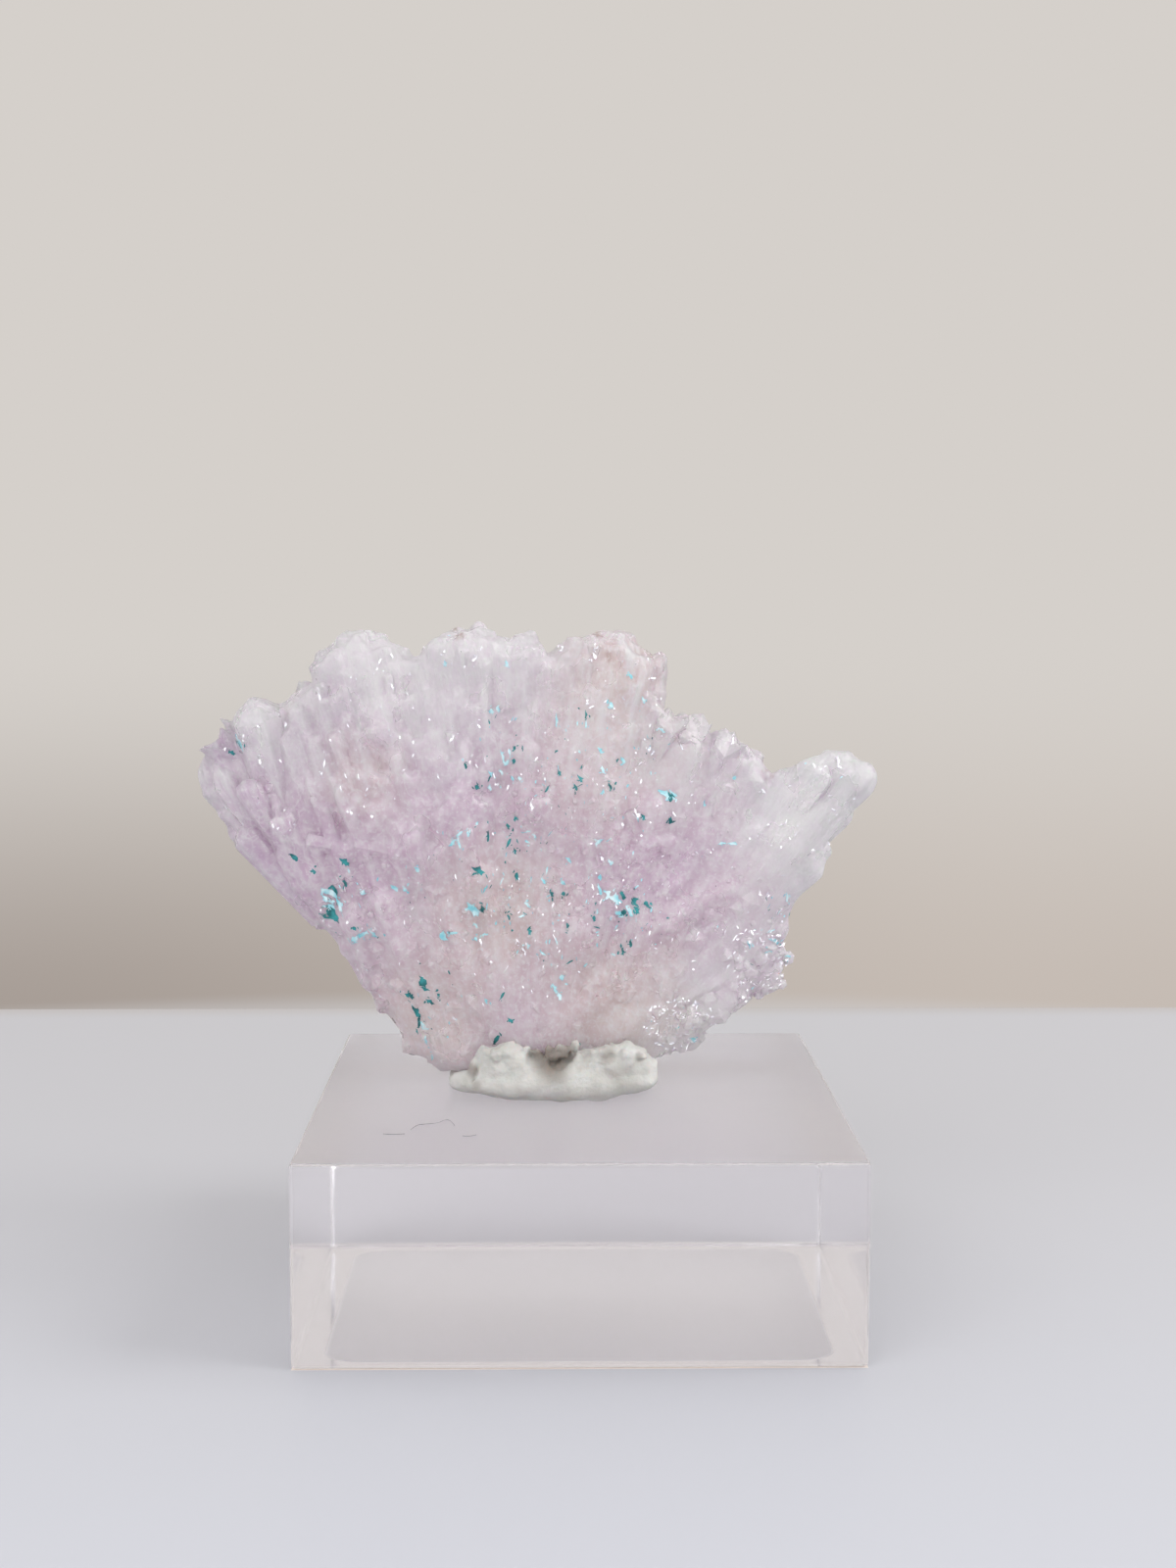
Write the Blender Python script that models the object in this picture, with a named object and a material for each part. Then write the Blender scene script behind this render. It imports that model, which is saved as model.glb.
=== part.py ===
"""Pale amethyst cluster, its foot pressed into a lump of putty on a clear block.

Metres, +Z up. The origin is the middle of the block's underside, and the
cluster's broad front looks along -Y.

The cluster is a fan of columns that radiate from one growth centre. It is a
lens-shaped body with lobes, on which six-sided crystals stand: columns that
reach the rim, single crystals named one by one, and short ones on both faces.
"""

import math
import random

import bmesh
import bpy
from mathutils import Matrix, Vector, noise

MM = 0.001
SEED = 11

# Driving dimensions: the block, and the gap kept where two pieces touch
BLOCK_SIDE = 70 * MM
BLOCK_HEIGHT = 25.4 * MM
BLOCK_EDGE = 0.5 * MM
TOUCH_GAP = 0.3 * MM

# The point that every column grows away from, inside the cluster's foot
GROWTH_CENTRE = Vector((-5, 3, 29.4)) * MM

# The cluster's outline seen from the front, as x and z in mm, clockwise from
# the left end of its underside
OUTLINE = (
    (-14.0, 27.2), (-22.0, 28.0), (-24.3, 30.4), (-27.5, 36.7), (-31.8, 43.3),
    (-34.9, 48.4), (-38.2, 54.9), (-43.2, 57.2), (-46.3, 60.5), (-49.5, 64.5),
    (-51.0, 69.0), (-50.6, 75.4), (-46.7, 77.0), (-44.4, 79.1), (-42.1, 78.3),
    (-40.6, 76.0), (-39.0, 80.8), (-35.2, 81.0), (-34.9, 86.1), (-31.8, 89.0),
    (-28.7, 89.3), (-24.2, 86.6), (-22.2, 84.0), (-19.5, 88.8), (-13.6, 90.2),
    (-9.3, 87.8), (-6.5, 89.3), (-4.3, 85.5), (-0.2, 88.8), (5.8, 89.6),
    (9.4, 86.1), (11.4, 85.1), (10.6, 78.0), (16.5, 77.5), (18.3, 74.5),
    (20.4, 75.5), (25.0, 72.4), (26.3, 69.1), (31.6, 70.1), (33.4, 71.8),
    (36.5, 72.1), (39.4, 71.2), (40.2, 68.9), (39.0, 65.8), (35.9, 62.1),
    (33.8, 59.5), (34.3, 57.0), (30.1, 52.2), (29.5, 46.8), (29.7, 41.6),
    (27.2, 39.0), (21.6, 35.3), (16.9, 30.9), (11.0, 28.4), (4.0, 26.9),
)

# The body under the crystals
BODY_INSET = 3.0 * MM
BODY_INSET_SHARE = 0.25
BODY_SPOKES = 38
BODY_RINGS = 6
BODY_DEPTH_MIDDLE = 8.2 * MM
BODY_DEPTH_FOOT = 4.8 * MM
BODY_DEPTH_RIM = 3.4 * MM
LUMP_HEIGHT = 2.6 * MM
LUMP_SIZE = 6 * MM

# How far a column leans for each degree of its place on the fan
LEAN_LEFT = 0.50
LEAN_RIGHT = 0.85

# Lobes of the fan: the angle of each from upright, its half width, both in
# degrees, how far it swells in mm, and the share of the radius where it starts
LOBES = (
    (-44, 8, 0.6, 0.45),
    (-22, 8, 1.9, 0.40),
    (-8, 7, 1.2, 0.55),
    (7, 8, 1.5, 0.60),
    (23, 8, 1.1, 0.45),
    (42, 8, 1.0, 0.50),
)
# The step across the left of the front, under the fluted lobe
LEDGE_ANGLES = (-56, -22)
LEDGE_SHARE = 0.56
LEDGE_HEIGHT = 1.5 * MM
# The slanting groove on the right of the front
GROOVE_ANGLE = 31
GROOVE_SHARES = (0.30, 0.80)
GROOVE_DEPTH = 1.3 * MM

# Columns along the fan's upper rim, in three staggered layers
RIM_ANGLES = (-36, 36)
RIM_SPACING = 3.5 * MM
RIM_RADIUS = 2.0 * MM
RIM_LENGTH = 18 * MM
RIM_LAYERS = (-2.9 * MM, 0.3 * MM, 3.4 * MM)
RIM_SCATTER = 1.2 * MM

# Short crystals down the two lower sides of the fan
FLANK_ANGLES = ((-84, -54), (53, 86))
FLANK_SPACING = 3.3 * MM
FLANK_RADIUS = 1.6 * MM
FLANK_LENGTH = 7.5 * MM

# Half sunk columns that lie on the two faces like shingles, in tiers at these
# shares of the radius, closer together in front (-1) than behind (1)
FACE_TIERS = (0.24, 0.40, 0.55, 0.70, 0.85)
FACE_SPACING = {-1: 4.7 * MM, 1: 6.2 * MM}
FACE_RADIUS = 2.5 * MM
FACE_LENGTH = 12 * MM
FACE_FOOT_SHARE = 0.8
FACE_SUNK = (0.50, 0.88)
FACE_ANGLES = (-66, 70)

# A tip less blunt than this is one pyramid, and any other has a rounded shoulder
SHARP_TIP = 0.45

# Single crystals: foot, tip, both as x, y, z in mm, radius in mm, and how blunt
# the tip is, from 0 for a point to 1 for a flat broken end
SINGLE_CRYSTALS = (
    # the left group: pale blunt crystal, broken block, long edge crystals
    ((-35.0, 4.0, 60.0), (-44.8, 1.5, 79.6), 3.7, 0.45),
    ((-41.0, 2.0, 66.0), (-50.9, -0.5, 75.6), 2.5, 0.90),
    ((-35.0, 4.0, 51.0), (-51.2, 3.0, 71.4), 3.1, 0.50),
    ((-33.0, 5.0, 50.0), (-48.8, 4.5, 63.8), 2.9, 0.40),
    ((-36.0, 2.0, 57.0), (-40.4, -6.2, 63.0), 2.1, 0.20),
    # a pale one behind the fluted lobe
    ((-30.0, 7.0, 60.0), (-38.4, 8.5, 81.6), 2.5, 0.35),
    ((-27.0, 8.0, 62.0), (-34.6, 10.0, 80.0), 2.2, 0.30),
    # the small round one at the right end of the top
    ((6.0, 3.0, 74.0), (11.8, 2.0, 85.6), 1.5, 0.60),
    # the far right lobe, smooth and long
    ((19.0, 3.0, 50.0), (29.0, 0.5, 70.4), 2.6, 0.30),
    ((20.0, 2.0, 50.0), (33.4, -1.0, 72.0), 2.7, 0.35),
    ((20.0, 3.5, 49.0), (37.2, 1.5, 72.8), 2.9, 0.50),
    ((21.0, 2.5, 48.0), (40.3, 0.5, 70.6), 2.8, 0.50),
    ((21.0, 4.5, 47.0), (38.6, 5.0, 66.2), 2.7, 0.40),
    ((20.0, 5.5, 49.0), (33.0, 7.5, 69.0), 2.6, 0.30),
    ((20.0, 2.0, 45.0), (34.4, 1.0, 58.4), 2.4, 0.30),
    # the leaf-shaped crystal in the middle of the front
    ((-6.4, -2.0, 60.0), (-5.4, -7.4, 67.0), 1.3, 0.10),
)

# Putty: a lump pressed flat under the cluster and risen round its foot
PUTTY_CENTRE = Vector((-3.0, 2.7, 0.0)) * MM + Vector((0, 0, BLOCK_HEIGHT + TOUCH_GAP))
PUTTY_HALF_WIDTH = 13.6 * MM
PUTTY_HALF_DEPTH = 10.2 * MM
PUTTY_HEIGHT = 7.3 * MM
PUTTY_TAIL = 1.4 * MM
PUTTY_SPOKES = 32
PUTTY_RINGS = 7
PUTTY_LUMP = 0.55 * MM
PUTTY_LUMP_SIZE = 4.5 * MM


def clear_scene():
    for obj in list(bpy.data.objects):
        bpy.data.objects.remove(obj)


def plain_material(name, colour, roughness, transmission=0.0, ior=1.5):
    material = bpy.data.materials.new(name)
    material.use_nodes = True
    shader = material.node_tree.nodes["Principled BSDF"]
    shader.inputs["Base Color"].default_value = (*colour, 1.0)
    shader.inputs["Roughness"].default_value = roughness
    shader.inputs["Metallic"].default_value = 0.0
    shader.inputs["Transmission Weight"].default_value = transmission
    shader.inputs["IOR"].default_value = ior
    return material


def object_from(bm, name):
    mesh = bpy.data.meshes.new(name)
    bmesh.ops.recalc_face_normals(bm, faces=bm.faces)
    bm.to_mesh(mesh)
    bm.free()
    obj = bpy.data.objects.new(name, mesh)
    bpy.context.scene.collection.objects.link(obj)
    return obj


def make_helper(obj):
    """A cutter or an added shape: it shapes others and isn't a piece itself."""
    obj.hide_render = True
    obj.display_type = "WIRE"
    return obj


def smooth_step(low, high, value):
    share = min(max((value - low) / (high - low), 0.0), 1.0)
    return share * share * (3 - 2 * share)


def rim_radius(angle):
    """How far the outline is from the growth centre at this angle from upright."""
    out = Vector((math.sin(angle), math.cos(angle)))
    centre = Vector((GROWTH_CENTRE.x, GROWTH_CENTRE.z))
    farthest = 0.0
    for first, second in zip(OUTLINE, OUTLINE[1:] + OUTLINE[:1]):
        start = Vector(first) * MM - centre
        along = Vector(second) * MM - centre - start
        turn = out.cross(along)
        if abs(turn) < 1e-12:
            continue
        distance = start.cross(along) / turn
        share = start.cross(out) / turn
        if distance > farthest and -1e-9 <= share <= 1 + 1e-9:
            farthest = distance
    return farthest


def body_reach(angle):
    """How far the body goes under the crystals at this angle."""
    outline = rim_radius(angle)
    return outline - min(BODY_INSET, BODY_INSET_SHARE * outline)


def lobe_swell(angle, share):
    """What the lobes add to the body's half depth."""
    degrees = math.degrees(angle)
    swell = 0.0
    for middle, half_width, height, start in LOBES:
        across = (degrees - middle) / half_width
        if abs(across) < 1:
            risen = smooth_step(start - 0.12, start + 0.12, share)
            swell += height * MM * math.sqrt(1 - across * across) * risen
    return swell


def front_relief(angle, share):
    """The ledge and the groove, which only the front has."""
    degrees = math.degrees(angle)
    relief = 0.0
    if LEDGE_ANGLES[0] < degrees < LEDGE_ANGLES[1]:
        relief += LEDGE_HEIGHT * smooth_step(LEDGE_SHARE - 0.04, LEDGE_SHARE + 0.04, share)
    if GROOVE_SHARES[0] < share < GROOVE_SHARES[1]:
        relief -= GROOVE_DEPTH * math.exp(-(((degrees - GROOVE_ANGLE) / 3.0) ** 2))
    return relief


def half_depth(angle, share, side):
    """From the middle plane to the body's face; side is -1 in front, 1 behind."""
    up = (1 + math.cos(angle)) / 2
    middle = BODY_DEPTH_FOOT + (BODY_DEPTH_MIDDLE - BODY_DEPTH_FOOT) * up
    falling = share**2.4
    depth = middle * (1 - falling) + BODY_DEPTH_RIM * falling
    depth += lobe_swell(angle, share) * up
    if side < 0:
        depth += front_relief(angle, share)
    return depth


def body_point(angle, share, side, grow=0.0):
    """A point on the body's front or back, moved outwards by grow."""
    reach = (body_reach(angle) + grow) * share
    x = GROWTH_CENTRE.x + math.sin(angle) * reach
    z = GROWTH_CENTRE.z + math.cos(angle) * reach
    place = Vector((x, side * LUMP_SIZE * 3, z)) / LUMP_SIZE
    lump = LUMP_HEIGHT * noise.noise(place) * smooth_step(-1, 0, math.cos(angle))
    depth = half_depth(angle, share, side) + lump + grow
    return Vector((x, GROWTH_CENTRE.y + side * depth, z))


def lens_body(name, grow=0.0):
    """The closed body: rings round the growth centre, in front and behind."""
    bm = bmesh.new()
    angles = [math.tau * i / BODY_SPOKES for i in range(BODY_SPOKES)]
    rings = []
    for side in (-1, 1):
        for ring in range(1, BODY_RINGS + 1):
            share = ring / BODY_RINGS
            rings.append([bm.verts.new(body_point(a, share, side, grow)) for a in angles])
    front, back = rings[:BODY_RINGS], rings[BODY_RINGS:]
    for side, group in ((-1, front), (1, back)):
        pole = bm.verts.new(body_point(0.0, 0.0, side, grow))
        for i in range(BODY_SPOKES):
            bm.faces.new((pole, group[0][i], group[0][(i + 1) % BODY_SPOKES]))
    bands = list(zip(front, front[1:])) + list(zip(back, back[1:])) + [(front[-1], back[-1])]
    for inner, outer in bands:
        for i in range(BODY_SPOKES):
            j = (i + 1) % BODY_SPOKES
            bm.faces.new((inner[i], inner[j], outer[j]))
            bm.faces.new((inner[i], outer[j], outer[i]))
    return object_from(bm, name)


def crystal(name, foot, tip, radius, blunt, twist, grow=0.0):
    """A six-sided column that widens to its shoulder and ends in a faceted tip."""
    axis = (tip - foot).normalized()
    foot = foot - axis * grow
    length = (tip - foot).length + grow
    radius = radius + grow
    tip_height = min(radius * (1.5 - blunt), length * 0.5)
    levels = [(0.0, 0.72 * radius), (length - tip_height, radius)]
    if blunt >= SHARP_TIP:
        levels.append((length - 0.42 * tip_height, (0.62 + 0.2 * blunt) * radius))
    turn = axis.to_track_quat("Z", "Y").to_matrix().to_4x4()
    place = Matrix.Translation(foot) @ turn @ Matrix.Rotation(twist, 4, "Z")
    bm = bmesh.new()
    rings = []
    for height, size in levels:
        made = bmesh.ops.create_circle(bm, segments=6, radius=size)["verts"]
        bmesh.ops.translate(bm, verts=made, vec=(0, 0, height))
        rings.append(made)
    for lower, upper in zip(rings, rings[1:]):
        for i in range(6):
            j = (i + 1) % 6
            bm.faces.new((lower[i], lower[j], upper[j], upper[i]))
    bm.faces.new(rings[0][::-1])
    lean = 0.18 * radius
    apex = bm.verts.new((lean, 0.4 * lean, length))
    for i in range(6):
        bm.faces.new((rings[-1][i], rings[-1][(i + 1) % 6], apex))
    bmesh.ops.transform(bm, matrix=place, verts=bm.verts)
    return object_from(bm, name)


def angle_steps(first, last, spacing):
    """Angles, in radians, a set distance apart along the outline."""
    angle = math.radians(first)
    while angle < math.radians(last):
        yield angle
        angle += spacing / max(rim_radius(angle), 10 * MM)


def least_rim_radius(angle, half_width):
    """The outline's least radius across a column's width, so that gaps stay open."""
    half_angle = half_width / rim_radius(angle)
    return min(rim_radius(angle + turn) for turn in (-half_angle, 0.0, half_angle))


def grown_direction(angle):
    """Which way a column at this angle on the fan points, flat in the fan's plane."""
    lean = angle * (LEAN_LEFT if angle < 0 else LEAN_RIGHT)
    return Vector((math.sin(lean), 0, math.cos(lean)))


def rim_crystals(rng):
    """Layers of long columns that make the lobed upper rim."""
    found = []
    for layer, depth in enumerate(RIM_LAYERS):
        for angle in angle_steps(*RIM_ANGLES, RIM_SPACING):
            angle += layer * RIM_SPACING / len(RIM_LAYERS) / rim_radius(angle)
            radius = RIM_RADIUS * rng.uniform(0.85, 1.2)
            reach = least_rim_radius(angle, 0.7 * radius) - rng.uniform(0, 1.2) * MM
            swell = lobe_swell(angle, 0.95) * (layer - 1)
            tip = GROWTH_CENTRE + Vector((math.sin(angle), 0, math.cos(angle))) * reach
            foot = tip - grown_direction(angle) * RIM_LENGTH * rng.uniform(0.75, 1.2)
            tip.y += depth + swell + rng.uniform(-RIM_SCATTER, RIM_SCATTER)
            foot.y += depth * 1.3
            found.append((foot, tip, radius, rng.uniform(0.2, 0.6), rng.uniform(0, 1)))
    return found


def flank_crystals(rng):
    """Short crystals that point outwards down both lower sides."""
    found = []
    for first, last in FLANK_ANGLES:
        for angle in angle_steps(first, last, FLANK_SPACING):
            reach = rim_radius(angle) + rng.uniform(-0.8, 0.2) * MM
            out = Vector((math.sin(angle), 0, math.cos(angle)))
            tip = GROWTH_CENTRE + out * reach
            tip.y += rng.uniform(-3.0, 3.5) * MM
            foot = GROWTH_CENTRE + out * (reach - FLANK_LENGTH)
            foot.y += rng.uniform(-1.0, 1.0) * MM
            radius = FLANK_RADIUS * rng.uniform(0.8, 1.25)
            found.append((foot, tip, radius, rng.uniform(0.1, 0.5), rng.uniform(0, 1)))
    return found


def face_place(x, z, side):
    """The point of the body's front or back over this x and z."""
    away = Vector((x - GROWTH_CENTRE.x, z - GROWTH_CENTRE.z))
    angle = math.atan2(away.x, away.y)
    share = min(away.length / body_reach(angle), 1.0)
    return body_point(angle, share, side)


def face_crystals(rng):
    """Columns that lie half sunk on both faces, each tip a little proud."""
    found = []
    for side in (-1, 1):
        for tier, share in enumerate(FACE_TIERS):
            angle = math.radians(FACE_ANGLES[0] + 4 * (tier % 2))
            while angle < math.radians(FACE_ANGLES[1]):
                radius = FACE_RADIUS * rng.uniform(0.75, 1.25)
                tip = body_point(angle, share + rng.uniform(-0.06, 0.05), side)
                length = min(FACE_LENGTH, FACE_FOOT_SHARE * share * body_reach(angle))
                along = grown_direction(angle) * length * rng.uniform(0.8, 1.1)
                foot = face_place(tip.x - along.x, tip.z - along.z, side)
                foot.y -= side * radius
                tip.y -= side * radius * rng.uniform(*FACE_SUNK)
                found.append((foot, tip, radius, rng.uniform(0.3, 0.7), rng.uniform(0, 1)))
                step = FACE_SPACING[side] * rng.uniform(0.85, 1.15)
                angle += step / (rim_radius(angle) * share)
    return found


def all_crystals():
    rng = random.Random(SEED)
    found = rim_crystals(rng) + flank_crystals(rng) + face_crystals(rng)
    for foot, tip, radius, blunt in SINGLE_CRYSTALS:
        found.append((Vector(foot) * MM, Vector(tip) * MM, radius * MM, blunt, rng.uniform(0, 1)))
    return found


def connected_faces(bm):
    """The mesh's faces in groups, each group joined by edges."""
    unseen = set(bm.faces)
    groups = []
    while unseen:
        waiting = [unseen.pop()]
        group = []
        while waiting:
            face = waiting.pop()
            group.append(face)
            for edge in face.edges:
                for neighbour in edge.link_faces:
                    if neighbour in unseen:
                        unseen.remove(neighbour)
                        waiting.append(neighbour)
        groups.append(group)
    return groups


def enclosed_volume(faces):
    """Positive for a skin that faces out, negative for the wall of a cavity."""
    return sum(f.calc_center_median().dot(f.normal) * f.calc_area() for f in faces) / 3


def keep_outer_skin(obj):
    """Applies the modifiers and fills the sealed gaps left between the columns."""
    graph = bpy.context.evaluated_depsgraph_get()
    fused = bpy.data.meshes.new_from_object(obj.evaluated_get(graph))
    obj.modifiers.clear()
    obj.data = fused
    bm = bmesh.new()
    bm.from_mesh(fused)
    for group in connected_faces(bm):
        if enclosed_volume(group) < 0:
            bmesh.ops.delete(bm, geom=group, context="FACES")
    bm.to_mesh(fused)
    bm.free()


def grown_cluster(name, grow=0.0, below=None):
    """The body with every crystal fused to it. For the cutter, only the crystals
    that come lower than the height given by below are added."""
    collection = bpy.data.collections.new(name + "_crystals")
    bpy.context.scene.collection.children.link(collection)
    for index, (foot, tip, radius, blunt, twist) in enumerate(all_crystals()):
        if below is not None and min(foot.z, tip.z) - radius > below:
            continue
        helper = crystal(f"{name}_crystal_{index:03d}", foot, tip, radius, blunt, twist, grow)
        bpy.context.scene.collection.objects.unlink(helper)
        collection.objects.link(make_helper(helper))
    cluster = lens_body(name, grow)
    union = cluster.modifiers.new("fuse crystals", "BOOLEAN")
    union.operation = "UNION"
    union.operand_type = "COLLECTION"
    union.collection = collection
    keep_outer_skin(cluster)
    for helper in list(collection.objects):
        bpy.data.objects.remove(helper)
    bpy.data.collections.remove(collection)
    return cluster


def make_cluster():
    cluster = grown_cluster("amethyst_cluster")
    material = plain_material("amethyst", (0.62, 0.50, 0.66), 0.25, 0.5, 1.544)
    cluster.data.materials.append(material)
    return cluster


def putty_lump(name):
    """A low lump with a flat underside, a rolled edge and a small tail on its left."""
    bm = bmesh.new()
    rings = []
    for ring in range(1, PUTTY_RINGS + 1):
        rise = ring / PUTTY_RINGS * math.pi / 2
        verts = []
        for i in range(PUTTY_SPOKES):
            angle = math.tau * i / PUTTY_SPOKES
            across, along = math.cos(angle), math.sin(angle)
            tail = PUTTY_TAIL * max(0.0, -across) ** 8
            width = (PUTTY_HALF_WIDTH + tail) * math.sin(rise) ** 0.45
            depth = PUTTY_HALF_DEPTH * math.sin(rise) ** 0.45
            height = PUTTY_HEIGHT * math.cos(rise) ** 0.55
            height *= 1 - 0.35 * max(0.0, -across) ** 6
            point = PUTTY_CENTRE + Vector((across * width, along * depth, height))
            lump = noise.noise(point / PUTTY_LUMP_SIZE) * PUTTY_LUMP
            point.x += across * lump
            point.y += along * lump
            if ring < PUTTY_RINGS:
                point.z += lump * math.cos(rise)
            verts.append(bm.verts.new(point))
        rings.append(verts)
    pole = bm.verts.new(PUTTY_CENTRE + Vector((0, 0, PUTTY_HEIGHT)))
    for i in range(PUTTY_SPOKES):
        bm.faces.new((pole, rings[0][i], rings[0][(i + 1) % PUTTY_SPOKES]))
    for upper, lower in zip(rings, rings[1:]):
        for i in range(PUTTY_SPOKES):
            j = (i + 1) % PUTTY_SPOKES
            bm.faces.new((upper[i], upper[j], lower[j], lower[i]))
    bm.faces.new(rings[-1])
    return object_from(bm, name)


def make_putty():
    putty = putty_lump("mounting_putty")
    putty.data.shade_smooth()
    reach = BLOCK_HEIGHT + TOUCH_GAP + PUTTY_HEIGHT + 2 * MM
    cutter = make_helper(grown_cluster("putty_cutter", grow=TOUCH_GAP * 1.35, below=reach))
    socket = putty.modifiers.new("cluster's foot", "BOOLEAN")
    socket.operation = "DIFFERENCE"
    socket.object = cutter
    material = plain_material("putty", (0.74, 0.74, 0.69), 0.65)
    putty.data.materials.append(material)
    return putty


def make_block():
    bm = bmesh.new()
    bmesh.ops.create_cube(bm, size=1.0)
    bmesh.ops.scale(bm, verts=bm.verts, vec=(BLOCK_SIDE, BLOCK_SIDE, BLOCK_HEIGHT))
    bmesh.ops.translate(bm, verts=bm.verts, vec=(0, 0, BLOCK_HEIGHT / 2))
    block = object_from(bm, "acrylic_block")
    edges = block.modifiers.new("polished edges", "BEVEL")
    edges.width = BLOCK_EDGE
    edges.segments = 3
    edges.limit_method = "ANGLE"
    material = plain_material("clear acrylic", (0.97, 0.97, 0.98), 0.02, 1.0, 1.49)
    block.data.materials.append(material)
    return block


def main():
    clear_scene()
    make_block()
    make_cluster()
    make_putty()


main()
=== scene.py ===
"""Looks of a pale amethyst cluster on a clear block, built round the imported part.

Metres, +Z up, in the part's own frame: the block stands on z = 0 and the
cluster's broad front looks along -Y. The cluster and the putty are new pieces
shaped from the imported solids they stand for. The block keeps its own solid.
"""

import math
import random

import bpy
from mathutils import Matrix, Vector
from mathutils.bvhtree import BVHTree


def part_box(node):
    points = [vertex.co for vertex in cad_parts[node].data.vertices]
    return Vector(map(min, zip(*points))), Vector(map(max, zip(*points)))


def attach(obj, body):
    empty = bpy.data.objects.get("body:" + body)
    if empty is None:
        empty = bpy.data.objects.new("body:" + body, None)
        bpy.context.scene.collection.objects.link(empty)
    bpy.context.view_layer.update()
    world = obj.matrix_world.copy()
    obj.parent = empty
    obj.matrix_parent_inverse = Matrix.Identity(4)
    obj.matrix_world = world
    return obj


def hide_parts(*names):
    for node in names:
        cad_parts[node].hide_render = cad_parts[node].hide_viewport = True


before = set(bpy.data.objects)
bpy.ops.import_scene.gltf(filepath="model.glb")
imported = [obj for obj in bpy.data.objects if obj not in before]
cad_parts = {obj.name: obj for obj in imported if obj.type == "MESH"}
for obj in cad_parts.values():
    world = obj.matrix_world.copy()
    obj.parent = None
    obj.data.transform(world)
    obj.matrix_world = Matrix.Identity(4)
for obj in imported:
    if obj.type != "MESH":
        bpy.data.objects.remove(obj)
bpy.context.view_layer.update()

MM = 0.001
SEED = 7

# The block's half width and top, and the thin air gap between it and the table
BLOCK_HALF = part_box("acrylic_block")[1][0]
BLOCK_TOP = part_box("acrylic_block")[1][2]
AIR_GAP = 0.05 * MM

# The photograph's frame, in pixels, and its lens measured in the same pixels
IMAGE_WIDTH = 1200
IMAGE_HEIGHT = 1600
LENS_PIXELS = 2002.9
SENSOR_HEIGHT = 36.0

# The camera's place and how it is turned, in degrees
CAMERA_PLACE = Vector((-3.15, -264.46, 93.66)) * MM
CAMERA_YAW = 0.98
CAMERA_PITCH = 5.61
CAMERA_ROLL = 0.12

# The point that every column grows away from, inside the cluster's foot
GROWTH_CENTRE = Vector((-5, 3, 29.4)) * MM

# How far a column leans for each degree of its place on the fan
LEAN_LEFT = 0.50
LEAN_RIGHT = 0.85

# Where the columns' courses meet below the growth centre, on each side, and the
# distance from there at which a flute has its full width
LEFT_SPRING = -26 * MM
RIGHT_SPRING = 14 * MM
LEFT_SPREAD = 105 * MM
RIGHT_SPREAD = 62 * MM

# The cluster's base: gaps narrower than twice GAP_FILL close
BASE_VOXEL = 0.5 * MM
GAP_FILL = 1.1 * MM
SKIN_VOXEL = 0.45 * MM


def axes_of(yaw, pitch, roll):
    """The camera's right, up and forward directions."""
    yaw, pitch, roll = (math.radians(a) for a in (yaw, pitch, roll))
    level = math.cos(pitch)
    forward = Vector((math.sin(yaw) * level, math.cos(yaw) * level, -math.sin(pitch)))
    right = Vector((math.cos(yaw), -math.sin(yaw), 0))
    up = right.cross(forward)
    rolled_right = math.cos(roll) * right + math.sin(roll) * up
    rolled_up = math.cos(roll) * up - math.sin(roll) * right
    return rolled_right, rolled_up, forward


CAMERA_RIGHT, CAMERA_UP, CAMERA_FORWARD = axes_of(CAMERA_YAW, CAMERA_PITCH, CAMERA_ROLL)


def pixel_ray(across, down):
    """The direction in which the camera sees this pixel."""
    x = (across - IMAGE_WIDTH / 2) / LENS_PIXELS
    y = (IMAGE_HEIGHT / 2 - down) / LENS_PIXELS
    return (CAMERA_FORWARD + x * CAMERA_RIGHT + y * CAMERA_UP).normalized()


def pixel_at_depth(across, down, depth):
    """The point seen at this pixel on the upright plane at y = depth."""
    ray = pixel_ray(across, down)
    return CAMERA_PLACE + ray * ((depth - CAMERA_PLACE.y) / ray.y)


# Small helpers for modelling by hand


def only(obj):
    """Selects this object and nothing else."""
    bpy.ops.object.select_all(action="DESELECT")
    obj.select_set(True)
    bpy.context.view_layer.objects.active = obj


def apply_modifiers(obj):
    only(obj)
    for modifier in list(obj.modifiers):
        bpy.ops.object.modifier_apply(modifier=modifier.name)


def settle(obj):
    """Puts the object's place into its mesh."""
    only(obj)
    bpy.ops.object.transform_apply(location=True, rotation=True, scale=True)


def copy_of_node(node, name):
    """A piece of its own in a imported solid's shape, with its loose faces joined."""
    obj = bpy.data.objects.new(name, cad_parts[node].data.copy())
    obj.data.name = name
    bpy.context.scene.collection.objects.link(obj)
    only(obj)
    bpy.ops.object.mode_set(mode="EDIT")
    bpy.ops.mesh.select_all(action="SELECT")
    bpy.ops.mesh.remove_doubles(threshold=0.001 * MM)
    bpy.ops.mesh.normals_make_consistent(inside=False)
    bpy.ops.object.mode_set(mode="OBJECT")
    obj.data.materials.clear()
    return obj


def remesh(obj, voxel):
    skin = obj.modifiers.new("even skin", "REMESH")
    skin.mode = "VOXEL"
    skin.voxel_size = voxel
    apply_modifiers(obj)


def finish_with(obj, material):
    """Gives the whole piece one material, whatever slots its making left."""
    obj.data.materials.clear()
    obj.data.materials.append(material)
    for face in obj.data.polygons:
        face.material_index = 0


def push_out(obj, distance):
    push = obj.modifiers.new("push", "DISPLACE")
    push.direction = "NORMAL"
    push.mid_level = 0.0
    push.strength = distance
    apply_modifiers(obj)


def smooth(obj, times, factor=0.5):
    soften = obj.modifiers.new("soften", "SMOOTH")
    soften.iterations = times
    soften.factor = factor
    apply_modifiers(obj)


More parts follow.
